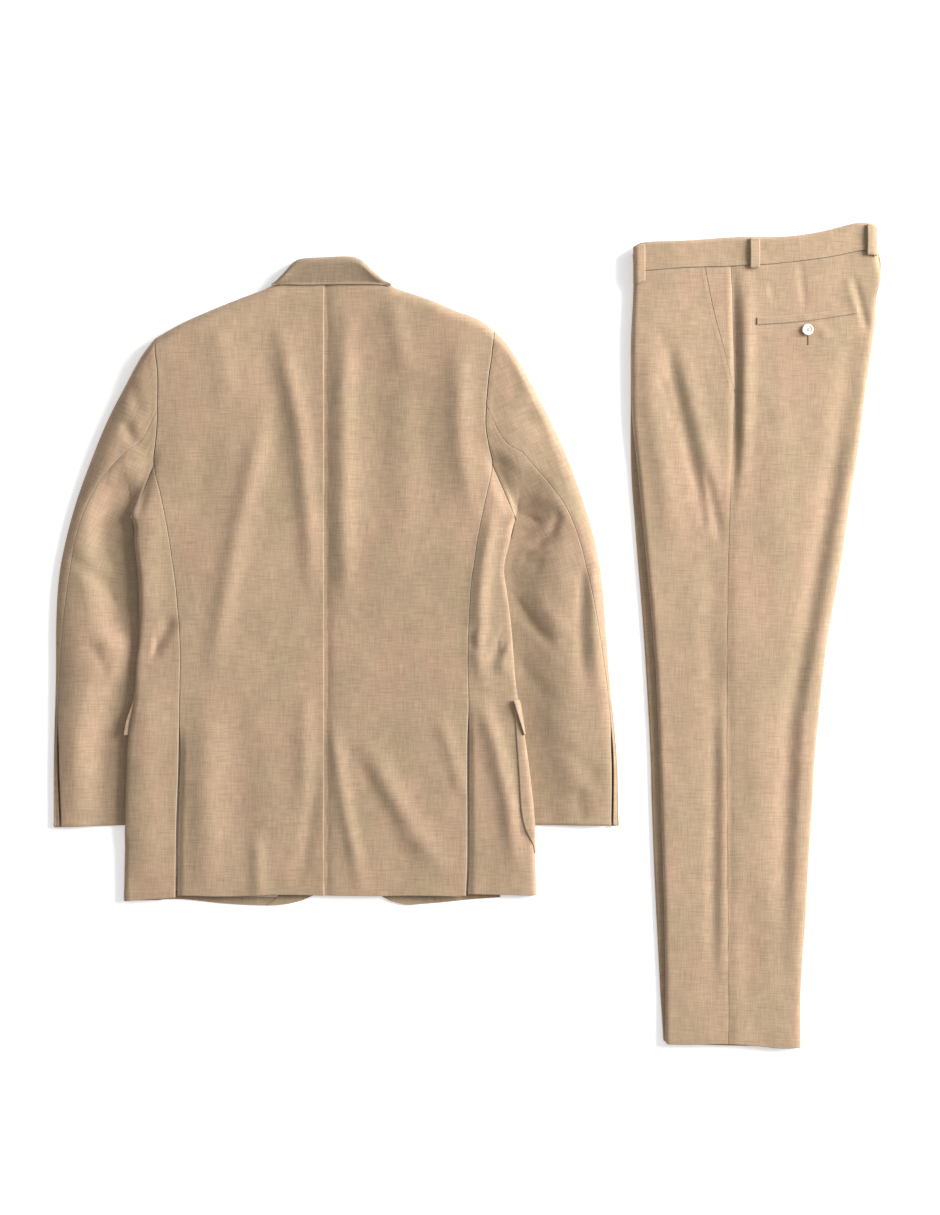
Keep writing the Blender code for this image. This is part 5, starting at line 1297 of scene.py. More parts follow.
@dataclass
class Jacket:
    """The jacket, with its back up.

    Args:
        wardrobe: the finishes.
    """

    wardrobe: Wardrobe

    def build(self) -> None:
        """Makes every piece of the jacket."""
        halves = {side: HalfJacket(side) for side in Side}
        for half in halves.values():
            self.build_body(half)
            self.build_sleeve(half)
            self.build_fronts(half)
            self.build_pocket(half)
        self.build_collar(halves)

    def piece(self, half: HalfJacket, name: str, order: int, surface: Surface, rows: list[float],
              stations: list[float], **more: object) -> None:
        """Makes one piece of a half.

        Args:
            half: the half.
            name: the piece's name, before its side.
            order: which of the pieces it is, for its place on the bolt.
            surface: its outer side.
            rows: the rows that it needs.
            stations: the stations that it needs.
            more: other fields of its shell.
        """
        Shell(f"{name}_{half.side.word}", surface, rows, stations, JACKET_AT, half.sign,
              seed=10 * order + half.sign, **more).build(self.wardrobe)

    def build_body(self, half: HalfJacket) -> None:
        """Back, side panel and front of one half."""
        raised_centre = Edge(drop=0.5, roll=1.2, lift=0.0, step=0.5, fade=9.0)
        sunk_centre = Edge(drop=0.9, roll=1.8, lift=0.0, step=-2.0, fade=8.0)
        centre = raised_centre if half.side is Side.LEFT else sunk_centre
        seam = Edge(drop=0.6, roll=1.5, lift=0.08)
        self.piece(half, "jacket_back", 1, half.back, BACK_ROWS, spread(0, 1, 10),
                   edges=(centre, seam, HEMMED, PLAIN))
        self.piece(half, "jacket_side", 2, half.side_panel, SIDE_ROWS, SIDE_STATIONS, held="folded",
                   edges=(seam, PLAIN, HEMMED, SEWN), spacing=3.2)
        self.piece(half, "jacket_front", 3, half.front, FRONT_ROWS, FRONT_STATIONS,
                   edges=(PLAIN, PLAIN, HEMMED, PLAIN), spacing=6.0)

    def build_sleeve(self, half: HalfJacket) -> None:
        """Top sleeve, which wraps the outer edge, and under sleeve, which wraps the inner one."""
        def gap(row: Array) -> Array:
            """The seam's half gap as a share of the sleeve's width."""
            return SEAM / half.sleeve_width(row)

        def gape(row: Array) -> Array:
            """The cuff vent's half opening as a share of the sleeve's width."""
            return CUFF_GAPE / 2 * smooth((row - CUFF_VENT) / 0.06) / half.sleeve_width(row)

        def top_sleeve(row: Array, t: Array) -> Array:
            """From the forearm seam (0) round the outer edge (1) to the elbow seam (2)."""
            under = lerp(half.forearm(row) + gap(row), 2.0, t)
            over = lerp(2.0, 2.0 + half.elbow(row) - gap(row) - gape(row), t - 1)
            points = half.sleeve(row, np.where(t <= 1, under, over))
            points[..., 2] -= CUFF_STEP * smooth((row - CUFF_VENT + 0.02) / 0.02) * smooth((t - 1) / 0.4)
            return points

        def under_sleeve(row: Array, t: Array) -> Array:
            """From the elbow seam (0) round the inner edge (1) to the forearm seam (2)."""
            over = lerp(half.elbow(row) + gap(row) + gape(row), 1.0, t)
            under = lerp(1.0, half.forearm(row) - gap(row), t - 1)
            return half.sleeve(row, np.where(t <= 1, over, under))

        elbow = Edge(drop=0.4, roll=1.3, lift=0.1)
        head = Edge(drop=0.9, roll=2.2, lift=0.7, reach=3.2)
        stations = [0, 0.3, 0.6, 0.85, 0.96, 0.99, 1.0, 1.04, 1.12, 1.3, 1.6, 2.0]
        self.piece(half, "top_sleeve", 4, top_sleeve, SLEEVE_ROWS, stations, held="folded",
                   edges=(PLAIN, elbow, HEMMED, head), grain=half.sleeve_grain)
        stations = [0, 0.15, 0.3, 0.45, 0.6, 0.74, 0.85, 0.93, 0.975, 0.996, 1.0, 1.05, 1.5, 2.0]
        self.piece(half, "under_sleeve", 5, under_sleeve, SLEEVE_ROWS, stations, held="folded",
                   edges=(elbow, PLAIN, HEMMED, head), grain=half.sleeve_grain)

    def build_collar(self, halves: dict[Side, HalfJacket]) -> None:
        """The collar: its fall lies over the back, rolls over at the top and turns in as the stand."""
        left, right = halves[Side.LEFT], halves[Side.RIGHT]

        def surface(x: Array, station: Array) -> Array:
            """Stations 0 to 1 from the fall's free edge to the roll, 1 to 2 down the stand."""
            roll, fall = along(COLLAR_ROLL, x), along(COLLAR_FALL, x)
            neck = np.where(x < 0, left.shoulder(-x), right.shoulder(x))
            down = (roll - fall) * (1 - station)
            up = roll - down
            crown = COLLAR_HEIGHT + COLLAR_CROWN * (1 - down / (roll - fall))
            height = COLLAR_MID + (crown - COLLAR_MID) * quarter(down / COLLAR_ROLLS[0])
            covered = np.minimum(up, neck - 1.5)
            back = np.where(x < 0, left.top(-x, covered), right.top(x, covered))
            over = back + LAYER + COLLAR_SPRING
            height = lerp(height, np.maximum(height, over), smooth((neck + 4 - up) / 2))
            inward = np.maximum(0.4, roll - neck - 1.2) * (station - 1)
            low = COLLAR_MID - COLLAR_DEPTH * quarter(inward / COLLAR_ROLLS[1])
            above = station <= 1
            return points_of(x, np.where(above, up, roll - inward), np.where(above, height, low))

        rows = spread(COLLAR_ROLL[0][0] + 0.5, COLLAR_ROLL[-1][0] - 0.5, 12)
        stations = [0, 0.3, 0.55, 0.72, 0.84, 0.93, 0.98, 1.0, 1.03, 1.1, 1.22, 1.5, 2.0]
        Shell("collar", surface, rows, stations, JACKET_AT, -1, held="folded",
              edges=(FOLDED, PLAIN, PLAIN, PLAIN), spacing=1.6, seed=91).build(self.wardrobe)

    def build_fronts(self, half: HalfJacket) -> None:
        """Lapel, collar end, facing and lining of one half, all on the front."""
        rows = [row for row in FRONT_ROWS if row < FACING_TOP / EVEN_BACK]
        inner = [station for station in FRONT_STATIONS if station >= FACING_SEAM]
        outer = [station for station in FRONT_STATIONS if station < FACING_SEAM] + [FACING_SEAM - 0.003]
        inside = {"edges": (PLAIN, PLAIN, PLAIN, PLAIN), "thickness": THIN_CLOTH, "raised": -LAYER,
                  "spacing": 5.0}
        self.piece(half, "facing", 6, half.front, rows, inner, **inside)
        self.piece(half, "lining", 7, half.front, rows[1:], outer, slot=Slot.LINING, **inside)

        def turned_back(width: Table) -> Surface:
            """A layer on the underside, from its free edge at a width from the roll line to that line."""
            return half.on_underside(
                lambda up: half.front_line(up) + half.sign * along(width, up),
                lambda up: half.front_line(up) + half.sign * SEAM,
            )

        free = {"edges": (FOLDED, PLAIN, FOLDED, FOLDED), "held": "folded", "raised": LAYER, "spacing": 4.0}
        self.piece(half, "lapel", 8, turned_back(LAPEL_WIDTH), spread(463, 592, 5) + [611, 629],
                   spread(0, 1, 4), **free)
        self.piece(half, "collar_end", 9, turned_back(COLLAR_END_WIDTH), spread(646, 740, 4),
                   spread(0, 1, 3), **free)

    def build_pocket(self, half: HalfJacket) -> None:
        """A patch pocket and its flap; on the right they come round the side fold."""
        right = half.side is Side.RIGHT
        on_front = [2 + station for station in FRONT_STATIONS if station < 0.6]
        if right:
            round_side = [station for station in SIDE_STATIONS if POCKET_START < station < 2]
            pocket_stations = flap_stations = [POCKET_START] + round_side + on_front
        else:
            pocket_stations = [1.17, FLAP_TURN, 1.6] + on_front
            flap_stations = [0.3, 0.8, FLAP_TURN, 1.6] + on_front

        def from_rear(table: Table, up: Array, station: Array) -> Array:
            """Points round the body, whose first station follows the rear edge on the right."""
            share = (station - POCKET_START) / (1 - POCKET_START)
            return half.around(up, np.where(station < 1, lerp(along(table, up), 1.0, share), station))

        def pocket(up: Array, station: Array) -> Array:
            """The patch pocket."""
            return from_rear(POCKET_REAR, up, station) if right else half.around(up, station)

        low, high = FLAP_ROWS

        def flap(up: Array, station: Array) -> Array:
            """The flap, whose rear corner stands off: the right one on the body, the left one past it."""
            turned = FLAP_TURN - station
            if right:
                lower = FLAP_SLANT * (up - low) / (high - low) * smooth(turned / 0.3)
                points = from_rear(FLAP_REAR, up - lower, station)
                points[..., 2] += FLAP_STAND * smooth((1.0 - station) / 0.08)
                return points
            points = half.around(up, station)
            turn = half.around(up, np.full_like(station, FLAP_TURN))
            corner_x = -(half.edge(up) + FLAP_OUT * smooth((high - up) / 40))
            x = turn[..., 0] + (corner_x - turn[..., 0]) * turned
            height = lerp(turn[..., 2], FLAP_HEIGHT, smooth(turned))
            points[..., 0] = np.where(turned > 0, x, points[..., 0])
            points[..., 2] = np.where(turned > 0, height, points[..., 2])
            return points

        self.piece(half, "patch_pocket", 10, pocket, POCKET_ROWS, pocket_stations,
                   edges=ALL_FOLDED, thickness=POCKET_CLOTH,
                   raised=POCKET_CLOTH + 0.2)
        sewn_down = Edge(drop=2.4, roll=6.0, lift=0.0)
        self.piece(half, "pocket_flap", 11, flap, [low, 214, 235, high], flap_stations,
                   edges=(FOLDED, FOLDED, FOLDED, sewn_down), thickness=POCKET_CLOTH,
                   raised=2 * POCKET_CLOTH + 0.4, spacing=3.0)


# The trousers' cut

LEG_DEPTH = 1.3  # how deep the folds are beside their table's heights
LEG_MID = 8.0  # height where the upper leg turns under at its creases
LEG_ROLL, FRONT_ROLL = 9.0, 5.5  # how far it rounds at the back and the front crease
LEG_LIP = 2.2  # how far it turns under
LEG_LEAN = 0.025  # how far its grain leans, in radians
EVEN_LEG = 950.0
# up from the hem, height of the upper leg
LEG_HEIGHTS = ((-5, 11), (150, 11.5), (500, 12.5), (800, 14), (960, 14.5), (1030, 14.5))
WAISTBAND_STEP = 1.3  # how much higher the waistband lies
WAIST_ROLL = 6.0
WAIST_MIDDLE = 985.0  # a row inside the waistband
WAIST_LEVEL = 1007.0  # how far up its top edge is, on the whole
FACING_ROWS = (819.0, 970.0)
# up from the hem, across from the side seam
SIDE_SEAM = ((-5, 0.5), (6, 0.5), (106, 0.3), (358, -1.8), (537, -0.9), (618, 0.5), (730, 4.5), (782, 7.1),
             (817, 8.5), (873, 7.1), (923, 5.5), (980, 2.5))
POCKET_SLANT = ((812, 8.3), (820, 7.1), (866, -4.3), (915, -17.5), (967, -28), (985, -31))
UPPER_CREASE = ((-5, -78), (106, -78.1), (243, -81.9), (375, -86.3), (456, -89.5), (523, -94.4),
                (597, -101.3), (667, -107.9), (727, -113.8), (781, -119.4), (831, -120.6), (881, -120.6),
                (931, -118.8), (966, -117.5), (1005, -119))
LOWER_CREASE = ((-5, -80), (56, -83.8), (106, -86.3), (206, -91.3), (306, -95), (356, -96.3), (431, -100),
                (531, -106.3), (606, -112.5), (656, -116.3), (706, -120), (756, -121.3), (831, -121),
                (881, -121), (966, -117.6), (1005, -119))
BACK_CREASE = ((-5, 91.3), (56, 91.3), (106, 93.8), (156, 97.5), (231, 101.3), (306, 106.3), (356, 108.8),
               (406, 113.8), (456, 118.8), (506, 125), (556, 133.8), (606, 142.5), (656, 150), (706, 157.5),
               (756, 165), (806, 171.3), (856, 178.8), (898, 185), (926, 186.3), (956, 192.5), (983, 188.3),
               (994, 187), (1030, 186.3))
# across from the side seam, up from the hem
LEG_HEM = ((-79, 4), (-75.5, 0.5), (0, 0.5), (34, -1.5), (62, -4.5), (91, -4.5))
WAIST_SEAM = ((-118, 966), (-103.8, 967.3), (-53.8, 971), (2.5, 972.8), (25, 974.4), (47.5, 975.1),
              (88.8, 979.3), (129.4, 984.8), (162.5, 991.5), (187, 994))
WAIST_TOP = ((-119, 997), (-105.6, 1003.5), (-53.8, 1006), (12.5, 1010.3), (40, 1010.3), (72.5, 1011),
             (112.5, 1016), (146.3, 1024), (162.5, 1027.8), (181.3, 1026.6), (187, 1020))
LEG_FOLDS = (
    (9, -2.4, -92, 905, -75, 868, -65, 818, -51, 756, -37, 693, -30, 640),
    (5, -1.2, -88, 850, -72, 800, -58, 750),
    (6, -1.5, -34, 730, -24, 700, -14, 655, -10, 620),
    (5, -1.0, -44, 700, -34, 670, -30, 640),
    (12, 1.8, -62, 880, -44, 800, -26, 730, -16, 660),
    (14, 1.8, -104, 910, -96, 800, -78, 700, -66, 600),
    (5, -2.6, 6, 985, 8, 930, 10, 856, 10, 756, 5, 660),
    (9, 2.2, 22, 985, 23, 860, 19, 690),
    (14, -1.2, -20, 640, -22, 520, -18, 400),
    (9, -1.4, -18, 470, -17, 300, -19, 40),
    (7, 1.3, -8, 480, -7, 300, -9, 50),
    (13, -2.4, 168, 985, 160, 943, 147, 806, 131, 706, 111, 593, 94, 493, 78, 406, 71, 243, 65, 20),
    (9, 1.4, 150, 860, 145, 706, 126, 593, 109, 493, 94, 406, 85, 243, 79, 30),
    (4, -0.8, 88.8, 985, 93, 950, 97, 905),
    (5, -1.8, 152, 966, 163, 935, 175, 885),
    (6, 1.0, 146, 965, 155, 935, 162, 905),
    (7, 0.9, 104, 905, 128, 880),
    (22, 1.2, 66, 850, 58, 700, 52, 560),
    (20, 1.0, 40, 520, 34, 380, 36, 200),
    (16, -0.9, 30, 230, 24, 130, 28, 20),
    (4, -0.6, 52, 955, 58, 925),
)
# belt loops: name, across from, across to, end below the waist seam
BELT_LOOPS = (("front", -116.5, -104.0, 14.0), ("side", 27.0, 39.0, 3.5), ("back", 173.0, 184.5, 6.0))
LOOP_RISE = 0.6  # how much higher the loops' middles stand
LOOP_CLOTH = 2.8
LOOP_LEAN = 1.2  # how much higher the loops' left edges stand
# across, up from the hem
WELT_TOP = ((35.4, 908.5), (96.8, 913.3), (161.5, 923.0))
WELT_HEIGHT = 9.0
WELT_RAISED = 1.7
LEG_ROWS = [0, 0.03] + spread(0.08, 0.6, 8) + spread(0.64, 1, 11)


class Leg:
    """The folded trousers' upper leg: heights and edges that its pieces share."""

    def height(self, x: Array, up: Array) -> Array:
        """Height of the upper leg's outside, before its creases."""
        return along(LEG_HEIGHTS, up) + LEG_DEPTH * relief(LEG_FOLDS, x, up) + swell(LEG_SWELL, x, up)

    def rounded(self, x: Array, up: Array) -> Array:
        """The same, brought down at the creases and at the waistband's top edge."""
        left = quarter((x - along(UPPER_CREASE, up)) / FRONT_ROLL)
        right = quarter((along(BACK_CREASE, up) - x) / LEG_ROLL)
        top = quarter((along(WAIST_TOP, x) - up) / WAIST_ROLL)
        return LEG_MID + (self.height(x, up) - LEG_MID) * left * right * top

    def front_edge(self, up: Array) -> Array:
        """The front panel's edge: the side seam, and above it the pocket's slant."""
        return np.minimum(along(SIDE_SEAM, up), along(POCKET_SLANT, up)) - SEAM

    def panel(self, inner: Line, crease: Line, sign: int) -> Surface:
        """A leg panel from an inner edge (0) to its crease (1) and under it (1 to 2)."""
        def surface(row: Array, station: Array) -> Array:
            """The panel at rows from hem to waist seam."""
            share = np.minimum(station, 1.0)
            crease_top = along(WAIST_SEAM, sign * 115) - SEAM
            crease_up = climb(row, along(LEG_HEM, sign * 85), crease_top, EVEN_LEG)
            near_up = climb(row, 0.5, along(WAIST_SEAM, 0) - SEAM, EVEN_LEG)
            far = crease(crease_up)
            x = lerp(inner(near_up), far, share)
            up = climb(row, along(LEG_HEM, x), along(WAIST_SEAM, x) - SEAM, EVEN_LEG)
            angle = np.radians(80 * (station - 1))
            lip_x = far - sign * LEG_LIP * (1 - np.cos(angle))
            over = station <= 1
            height = np.where(over, self.rounded(x, up), LEG_MID - LEG_LIP * np.sin(angle))
            return points_of(np.where(over, x, lip_x), up, height)
        return surface

    def waistband(self, row: Array, station: Array) -> Array:
        """The waistband from its seam up and over its top edge, front to back crease."""
        x = lerp(along(UPPER_CREASE, WAIST_MIDDLE), along(BACK_CREASE, WAIST_MIDDLE), station)
        up = lerp(along(WAIST_SEAM, x) + SEAM, along(WAIST_TOP, x), row)
        left, right = along(UPPER_CREASE, up), along(BACK_CREASE, up)
        x = lerp(left, right, station)
        step = WAISTBAND_STEP * quarter((along(WAIST_TOP, x) - up) / WAIST_ROLL)
        ends = smooth((x - left) / 6) * smooth((right - x) / 6)
        return points_of(x, up, self.rounded(x, up) + step * ends)

    def grain(self, x: Array, y: Array) -> tuple[Array, Array]:
        """Weft and warp distances: the leg's grain leans a little to the back."""
        return x - LEG_LEAN * y, y + LEG_LEAN * x


@dataclass
class Trousers:
    """The trousers, folded leg on leg along their creases.

    Args:
        wardrobe: the finishes.
        leg: the form of the upper leg.
    """

    wardrobe: Wardrobe
    leg: Leg

    def build(self) -> None:
        """Makes every piece of the trousers."""
        self.build_panels()
        self.build_waistband()
        self.build_loops()
        self.build_welt()
        self.build_inside()

    def piece(self, node: str, seed: int, surface: Surface, rows: list[float], stations: list[float],
              outward: int = 1, **more: object) -> None:
        """Makes one piece.

        Args:
            node: the CAD node that it stands for.
            seed: picks where on the bolt it is cut.
            surface: its outer side.
            rows: the rows that it needs.
            stations: the stations that it needs.
            outward: -1 where the surface's own normal points into the cloth.
            more: other fields of its shell.
        """
        Shell(node, surface, rows, stations, TROUSERS_AT, outward, grain=self.leg.grain, seed=seed,
              **more).build(self.wardrobe)

    def build_panels(self) -> None:
        """The two panels of the upper leg, and the pocket's facing between them."""
        leg = self.leg
        stations = [0, 0.16, 0.32, 0.48, 0.64, 0.8, 0.92, 0.965, 0.99, 1.0, 1.5, 2.0]
        waist = Edge(drop=0.7, roll=1.4, lift=0.2)
        pocket = Edge(drop=0.0, lift=0.12, reach=3.5)
        front = leg.panel(leg.front_edge, lambda up: along(UPPER_CREASE, up), -1)
        self.piece("trouser_front", 201, front, LEG_ROWS, stations, -1, held="folded",
                   edges=(pocket, PLAIN, HEMMED, waist))
        side = Edge(drop=0.9, roll=1.7, lift=0.0, step=-1.1, fade=7.0)
        back = leg.panel(lambda up: along(SIDE_SEAM, up) + SEAM, lambda up: along(BACK_CREASE, up), 1)
        self.piece("trouser_back", 202, back, LEG_ROWS, stations, held="folded",
                   edges=(side, PLAIN, HEMMED, waist))
        low, high = FACING_ROWS

        def facing(up: Array, station: Array) -> Array:
            """The facing in the pocket's mouth, a little below the front panel."""
            x = lerp(along(POCKET_SLANT, up) + SEAM, along(SIDE_SEAM, up) - SEAM, station)
            level = lerp(low, along(WAIST_SEAM, x) - SEAM, (up - low) / (high - low))
            return points_of(x, level, leg.rounded(x, level) - 0.4)

        self.piece("pocket_facing", 203, facing, spread(low, high, 9), [0, 0.5, 1],
                   edges=(PLAIN, SEWN, PLAIN, waist), thickness=POCKET_CLOTH, spacing=2.5)

    def build_waistband(self) -> None:
        """The waistband."""
        across = [0, 0.006, 0.018, 0.035] + spread(0.08, 0.92, 12) + [0.965, 0.982, 0.994, 1.0]
        rows = [0, 0.25, 0.5, 0.72, 0.86, 0.95, 0.988, 1.0]
        seam = Edge(drop=0.6, roll=1.2, lift=0.2, reach=3.5)
        self.piece("waistband", 204, self.leg.waistband, rows, across, edges=(PLAIN, PLAIN, seam, PLAIN),
                   spacing=2.2)

    def belt_loop(self, left: float, right: float, drop: float) -> Surface:
        """A belt loop from below the waistband's seam (0) to its top edge (1).

        Args:
            left: where it is across.
            right: where it ends across.
            drop: how far below the waistband's seam it starts.

        Returns:
            The loop's outer side.
        """
        middle = (left + right) / 2
        top, low = along(WAIST_TOP, middle) - 4.0, along(WAIST_SEAM, middle) - drop

        def surface(up: Array, station: Array) -> Array:
            """Rows from its lower end to its upper one, stations from left to right."""
            x = lerp(left, right, station)
            level = lerp(low, top, up) + (along(WAIST_TOP, x) - along(WAIST_TOP, middle)) * 0.6
            first, last = along(UPPER_CREASE, WAIST_MIDDLE), along(BACK_CREASE, WAIST_MIDDLE)
            share = (x - first) / (last - first)
            arch = np.sin(math.pi * up)
            rise = LOOP_RISE * arch + LOOP_LEAN * (1 - station) * arch**0.5
            height = self.leg.rounded(x, level) + WAISTBAND_STEP * smooth(share / 0.02) + rise
            return points_of(x, level, height)
        return surface

    def build_loops(self) -> None:
        """The belt loops."""
        for order, (name, left, right, drop) in enumerate(BELT_LOOPS):
            self.piece(f"belt_loop_{name}", 210 + order, self.belt_loop(left, right, drop), spread(0, 1, 6),
                       spread(0, 1, 3), edges=ALL_FOLDED, thickness=LOOP_CLOTH,
                       raised=LOOP_CLOTH + GAP + 0.2, spacing=1.2)

    def build_welt(self) -> None:
        """The back pocket's welt."""
        def welt(share: Array, station: Array) -> Array:
            """The welt, from its lower (0) to its upper edge (1)."""
            x = lerp(WELT_TOP[0][0], WELT_TOP[-1][0], station)
            up = along(WELT_TOP, x) - WELT_HEIGHT * (1 - share)
            return points_of(x, up, self.leg.rounded(x, up))

        self.piece("back_welt", 214, welt, [0, 0.5, 1], spread(0, 1, 9),
                   edges=ALL_FOLDED, thickness=THIN_CLOTH, raised=WELT_RAISED,
                   spacing=1.5)

    def inside_section(self, row: float) -> list[tuple[float, Optional[float]]]:
        """The hidden layers' outline across the leg, round from the lower front crease.

        Args:
            row: how far up.

        Returns:
            Points of across and height. A height of None follows the upper leg.
        """
        low, upper, back = (float(along(table, row)) for table in (LOWER_CREASE, UPPER_CREASE, BACK_CREASE))
        points = [(low + 2.6, 0), (low + 40, 0), (back - 40, 0), (back - 3, 0)]
        points += [(back - 0.8, 1.0), (back - 0.3, 2.6), (back - 0.9, 4.2)]
        points += [(back - 3.4, 5.0), (back - 3.9, 5.6), (back - 3.8, 7.0)]
        points += [(lerp(back - 7.0, upper + 7.0, share), None) for share in spread(0, 1, 24)]
        points += [(upper + 3.2, 7.0), (upper + 3.9, 5.6), (upper + 3.4, 5.0)]
        return points + [(low + 2.2, 4.8), (low + 0.6, 4.0), (low, 2.5), (low + 0.8, 0.9)]

    def build_inside(self) -> None:
        """The hidden layers: the lower leg and the upper leg's inside, with a groove between."""
        rows = [0, 1.5, 4, 10, 24, 40] + spread(60, 965, 60) + [982, 995, 999]
        room = LAYER + 3.9
        points = []
        for row in rows:
            for x, z in self.inside_section(row):
                share = float(smooth((row - 800) / 199))
                above = lerp(row, row + float(along(WAIST_TOP, x)) - WAIST_LEVEL, share)
                up = row + float(along(LEG_HEM, x)) + 0.4 if row < 60 else above
                if z is None:
                    z = max(7.8, float(self.leg.height(np.array(x), np.array(min(up, WAIST_MIDDLE)))) - room)
                points.append((x + TROUSERS_AT[0], up + TROUSERS_AT[1], z))
        count = len(points) // len(rows)
        faces = []
        for i in range(len(rows) - 1):
            for j in range(count):
                k = (j + 1) % count
                faces.append(((i + 1) * count + j, (i + 1) * count + k, i * count + k, i * count + j))
        faces.append(tuple(range(count)))
        faces.append(tuple((len(rows) - 1) * count + j for j in reversed(range(count))))
        mesh = bpy.data.meshes.new("trouser_layers_cloth")
        mesh.from_pydata([[c * MM for c in point] for point in points], [], faces)
        layer = mesh.uv_layers.new(name="grain")
        for corner, loop in enumerate(mesh.loops):
            x, y, _ = mesh.vertices[loop.vertex_index].co
            layer.uv[corner].vector = (x + 1.7, y + 0.9)
        # no lighter edges here: neither pressed cloth nor painted sheen
        mesh.attributes.new("pressed", "FLOAT", "POINT")
        mesh.shade_smooth()
        mesh.set_sharp_from_angle(angle=math.radians(50))
        mesh.materials.append(self.wardrobe.suiting)
        add_cloth("trouser_layers", mesh)


@dataclass
class BackButton:
    """The back pocket's button, with a dished face, four holes and its thread.

    Args:
        wardrobe: the finishes.
        centre: across and up.
        radius: of the rim.
        height: of the rim above the button's base.
        hole_out: distance of each hole from the middle.
        hole_radius: of each hole.
        steps: points round.
        face: height of its dished face, as a share of the rim's.
        rings: the profile from the base's middle to the face, each a share of radius and height.
        face_rings: the face's rings, which the holes are pressed into, as shares of the radius.
    """

    wardrobe: Wardrobe
    centre: tuple[float, float] = (99.0, 893.5)
    radius: float = 7.0
    height: float = 2.8
    hole_out: float = 1.5
    hole_radius: float = 0.62
    steps: int = 72
    face: float = 0.67
    rings: Table = ((0.6, 0.0), (0.9, 0.12), (0.98, 0.3), (1.0, 0.5), (0.985, 0.74), (0.93, 0.92),
                    (0.86, 1.0), (0.78, 0.98), (0.7, 0.88), (0.62, 0.74), (0.55, 0.68))
    face_rings: tuple[float, ...] = (0.42, 0.34, 0.28, 0.22, 0.16, 0.1, 0.05)

    def dish(self, x: float, y: float, rise: float) -> float:
        """Height of the face with its holes pressed in."""
        deep = 0.0
        for n in range(4):
            turn = math.tau * (n + 0.5) / 4
            away = math.hypot(x - self.hole_out * math.cos(turn), y - self.hole_out * math.sin(turn))
            deep = max(deep, float(smooth((self.hole_radius * 1.25 - away) / (self.hole_radius * 0.5))))
        return rise * self.height - deep * 0.9

    def build(self, leg: Leg) -> float:
        """Makes the button on the leg's cloth.

        Args:
            leg: the leg that it is sewn on.

        Returns:
            Height of its base.
        """
        x0, y0 = self.centre
        base = float(leg.rounded(np.array(x0), np.array(y0))) + GAP + 0.5
        points = []
        rings = [*self.rings, *((share, self.face) for share in self.face_rings)]
        for share, rise in rings:
            for n in range(self.steps):
                turn = math.tau * n / self.steps
                x, y = math.cos(turn) * share * self.radius, math.sin(turn) * share * self.radius
                face = self.dish(x, y, rise) if rise == self.face else rise * self.height
                points.append((x0 + x, y0 + y, base + face))
        points.append((x0, y0, base))
        points.append((x0, y0, base + self.face * self.height))
        low, top = len(points) - 2, len(points) - 1
        faces = []
        for ring in range(len(rings) - 1):
            for n in range(self.steps):
                a, b = ring * self.steps + n, ring * self.steps + (n + 1) % self.steps
                faces.append((a, b, b + self.steps, a + self.steps))
        last = (len(rings) - 1) * self.steps
        for n in range(self.steps):
            after = (n + 1) % self.steps
            faces.append((low, after, n))
            faces.append((top, last + n, last + after))
        mesh = bpy.data.meshes.new("back_button")
        moved = [((x + TROUSERS_AT[0]) * MM, (y + TROUSERS_AT[1]) * MM, z * MM) for x, y, z in points]
        mesh.from_pydata(moved, [], faces)
        mesh.shade_smooth()
        mesh.materials.append(self.wardrobe.button)
        add_piece("back_button", mesh, "back_pocket_button")
        return base


# Stitches


def stitch_tree() -> bpy.types.NodeTree:
    """Geometry Nodes that sew a run of stitches along a path of edges."""
    known = bpy.data.node_groups.get("stitch_run")
    if known:
        return known
    tree = bpy.data.node_groups.new("stitch_run", "GeometryNodeTree")
    tree.interface.new_socket("Path", in_out="INPUT", socket_type="NodeSocketGeometry")
    for word in ("Pitch", "Length", "Width", "Height"):
        tree.interface.new_socket(word, in_out="INPUT", socket_type="NodeSocketFloat")
    tree.interface.new_socket("Thread", in_out="INPUT", socket_type="NodeSocketMaterial")
    tree.interface.new_socket("Stitches", in_out="OUTPUT", socket_type="NodeSocketGeometry")
    board = Board(tree)
    entry = {s.name: s for s in board.add("NodeGroupInput").outputs}
    curve = board.add("GeometryNodeMeshToCurve", Mesh=entry["Path"])
    even = board.add("GeometryNodeResampleCurve", {"mode": "LENGTH"}, Curve=curve.outputs[0],
                     Length=entry["Pitch"])
    ball = board.add("GeometryNodeMeshUVSphere", Segments=8, Rings=5, Radius=0.5)
    size = board.add("ShaderNodeCombineXYZ", X=entry["Length"], Y=entry["Width"], Z=entry["Height"])
    one = board.add("GeometryNodeTransform", Geometry=ball.outputs[0], Scale=size.outputs[0])
    tangent = board.add("GeometryNodeInputTangent")
    turned = board.add("FunctionNodeAlignRotationToVector", {"axis": "X"}, Vector=tangent.outputs[0])
    placed = board.add("GeometryNodeInstanceOnPoints", Points=even.outputs[0], Instance=one.outputs[0],
                       Rotation=turned.outputs[0])
    real = board.add("GeometryNodeRealizeInstances", Geometry=placed.outputs[0])
    soft = board.add("GeometryNodeSetShadeSmooth", Geometry=real.outputs[0])
    dyed = board.add("GeometryNodeSetMaterial", Geometry=soft.outputs[0], Material=entry["Thread"])
    end = board.add("NodeGroupOutput")
    board.feed(end.inputs[0], dyed.outputs[0])
    return tree


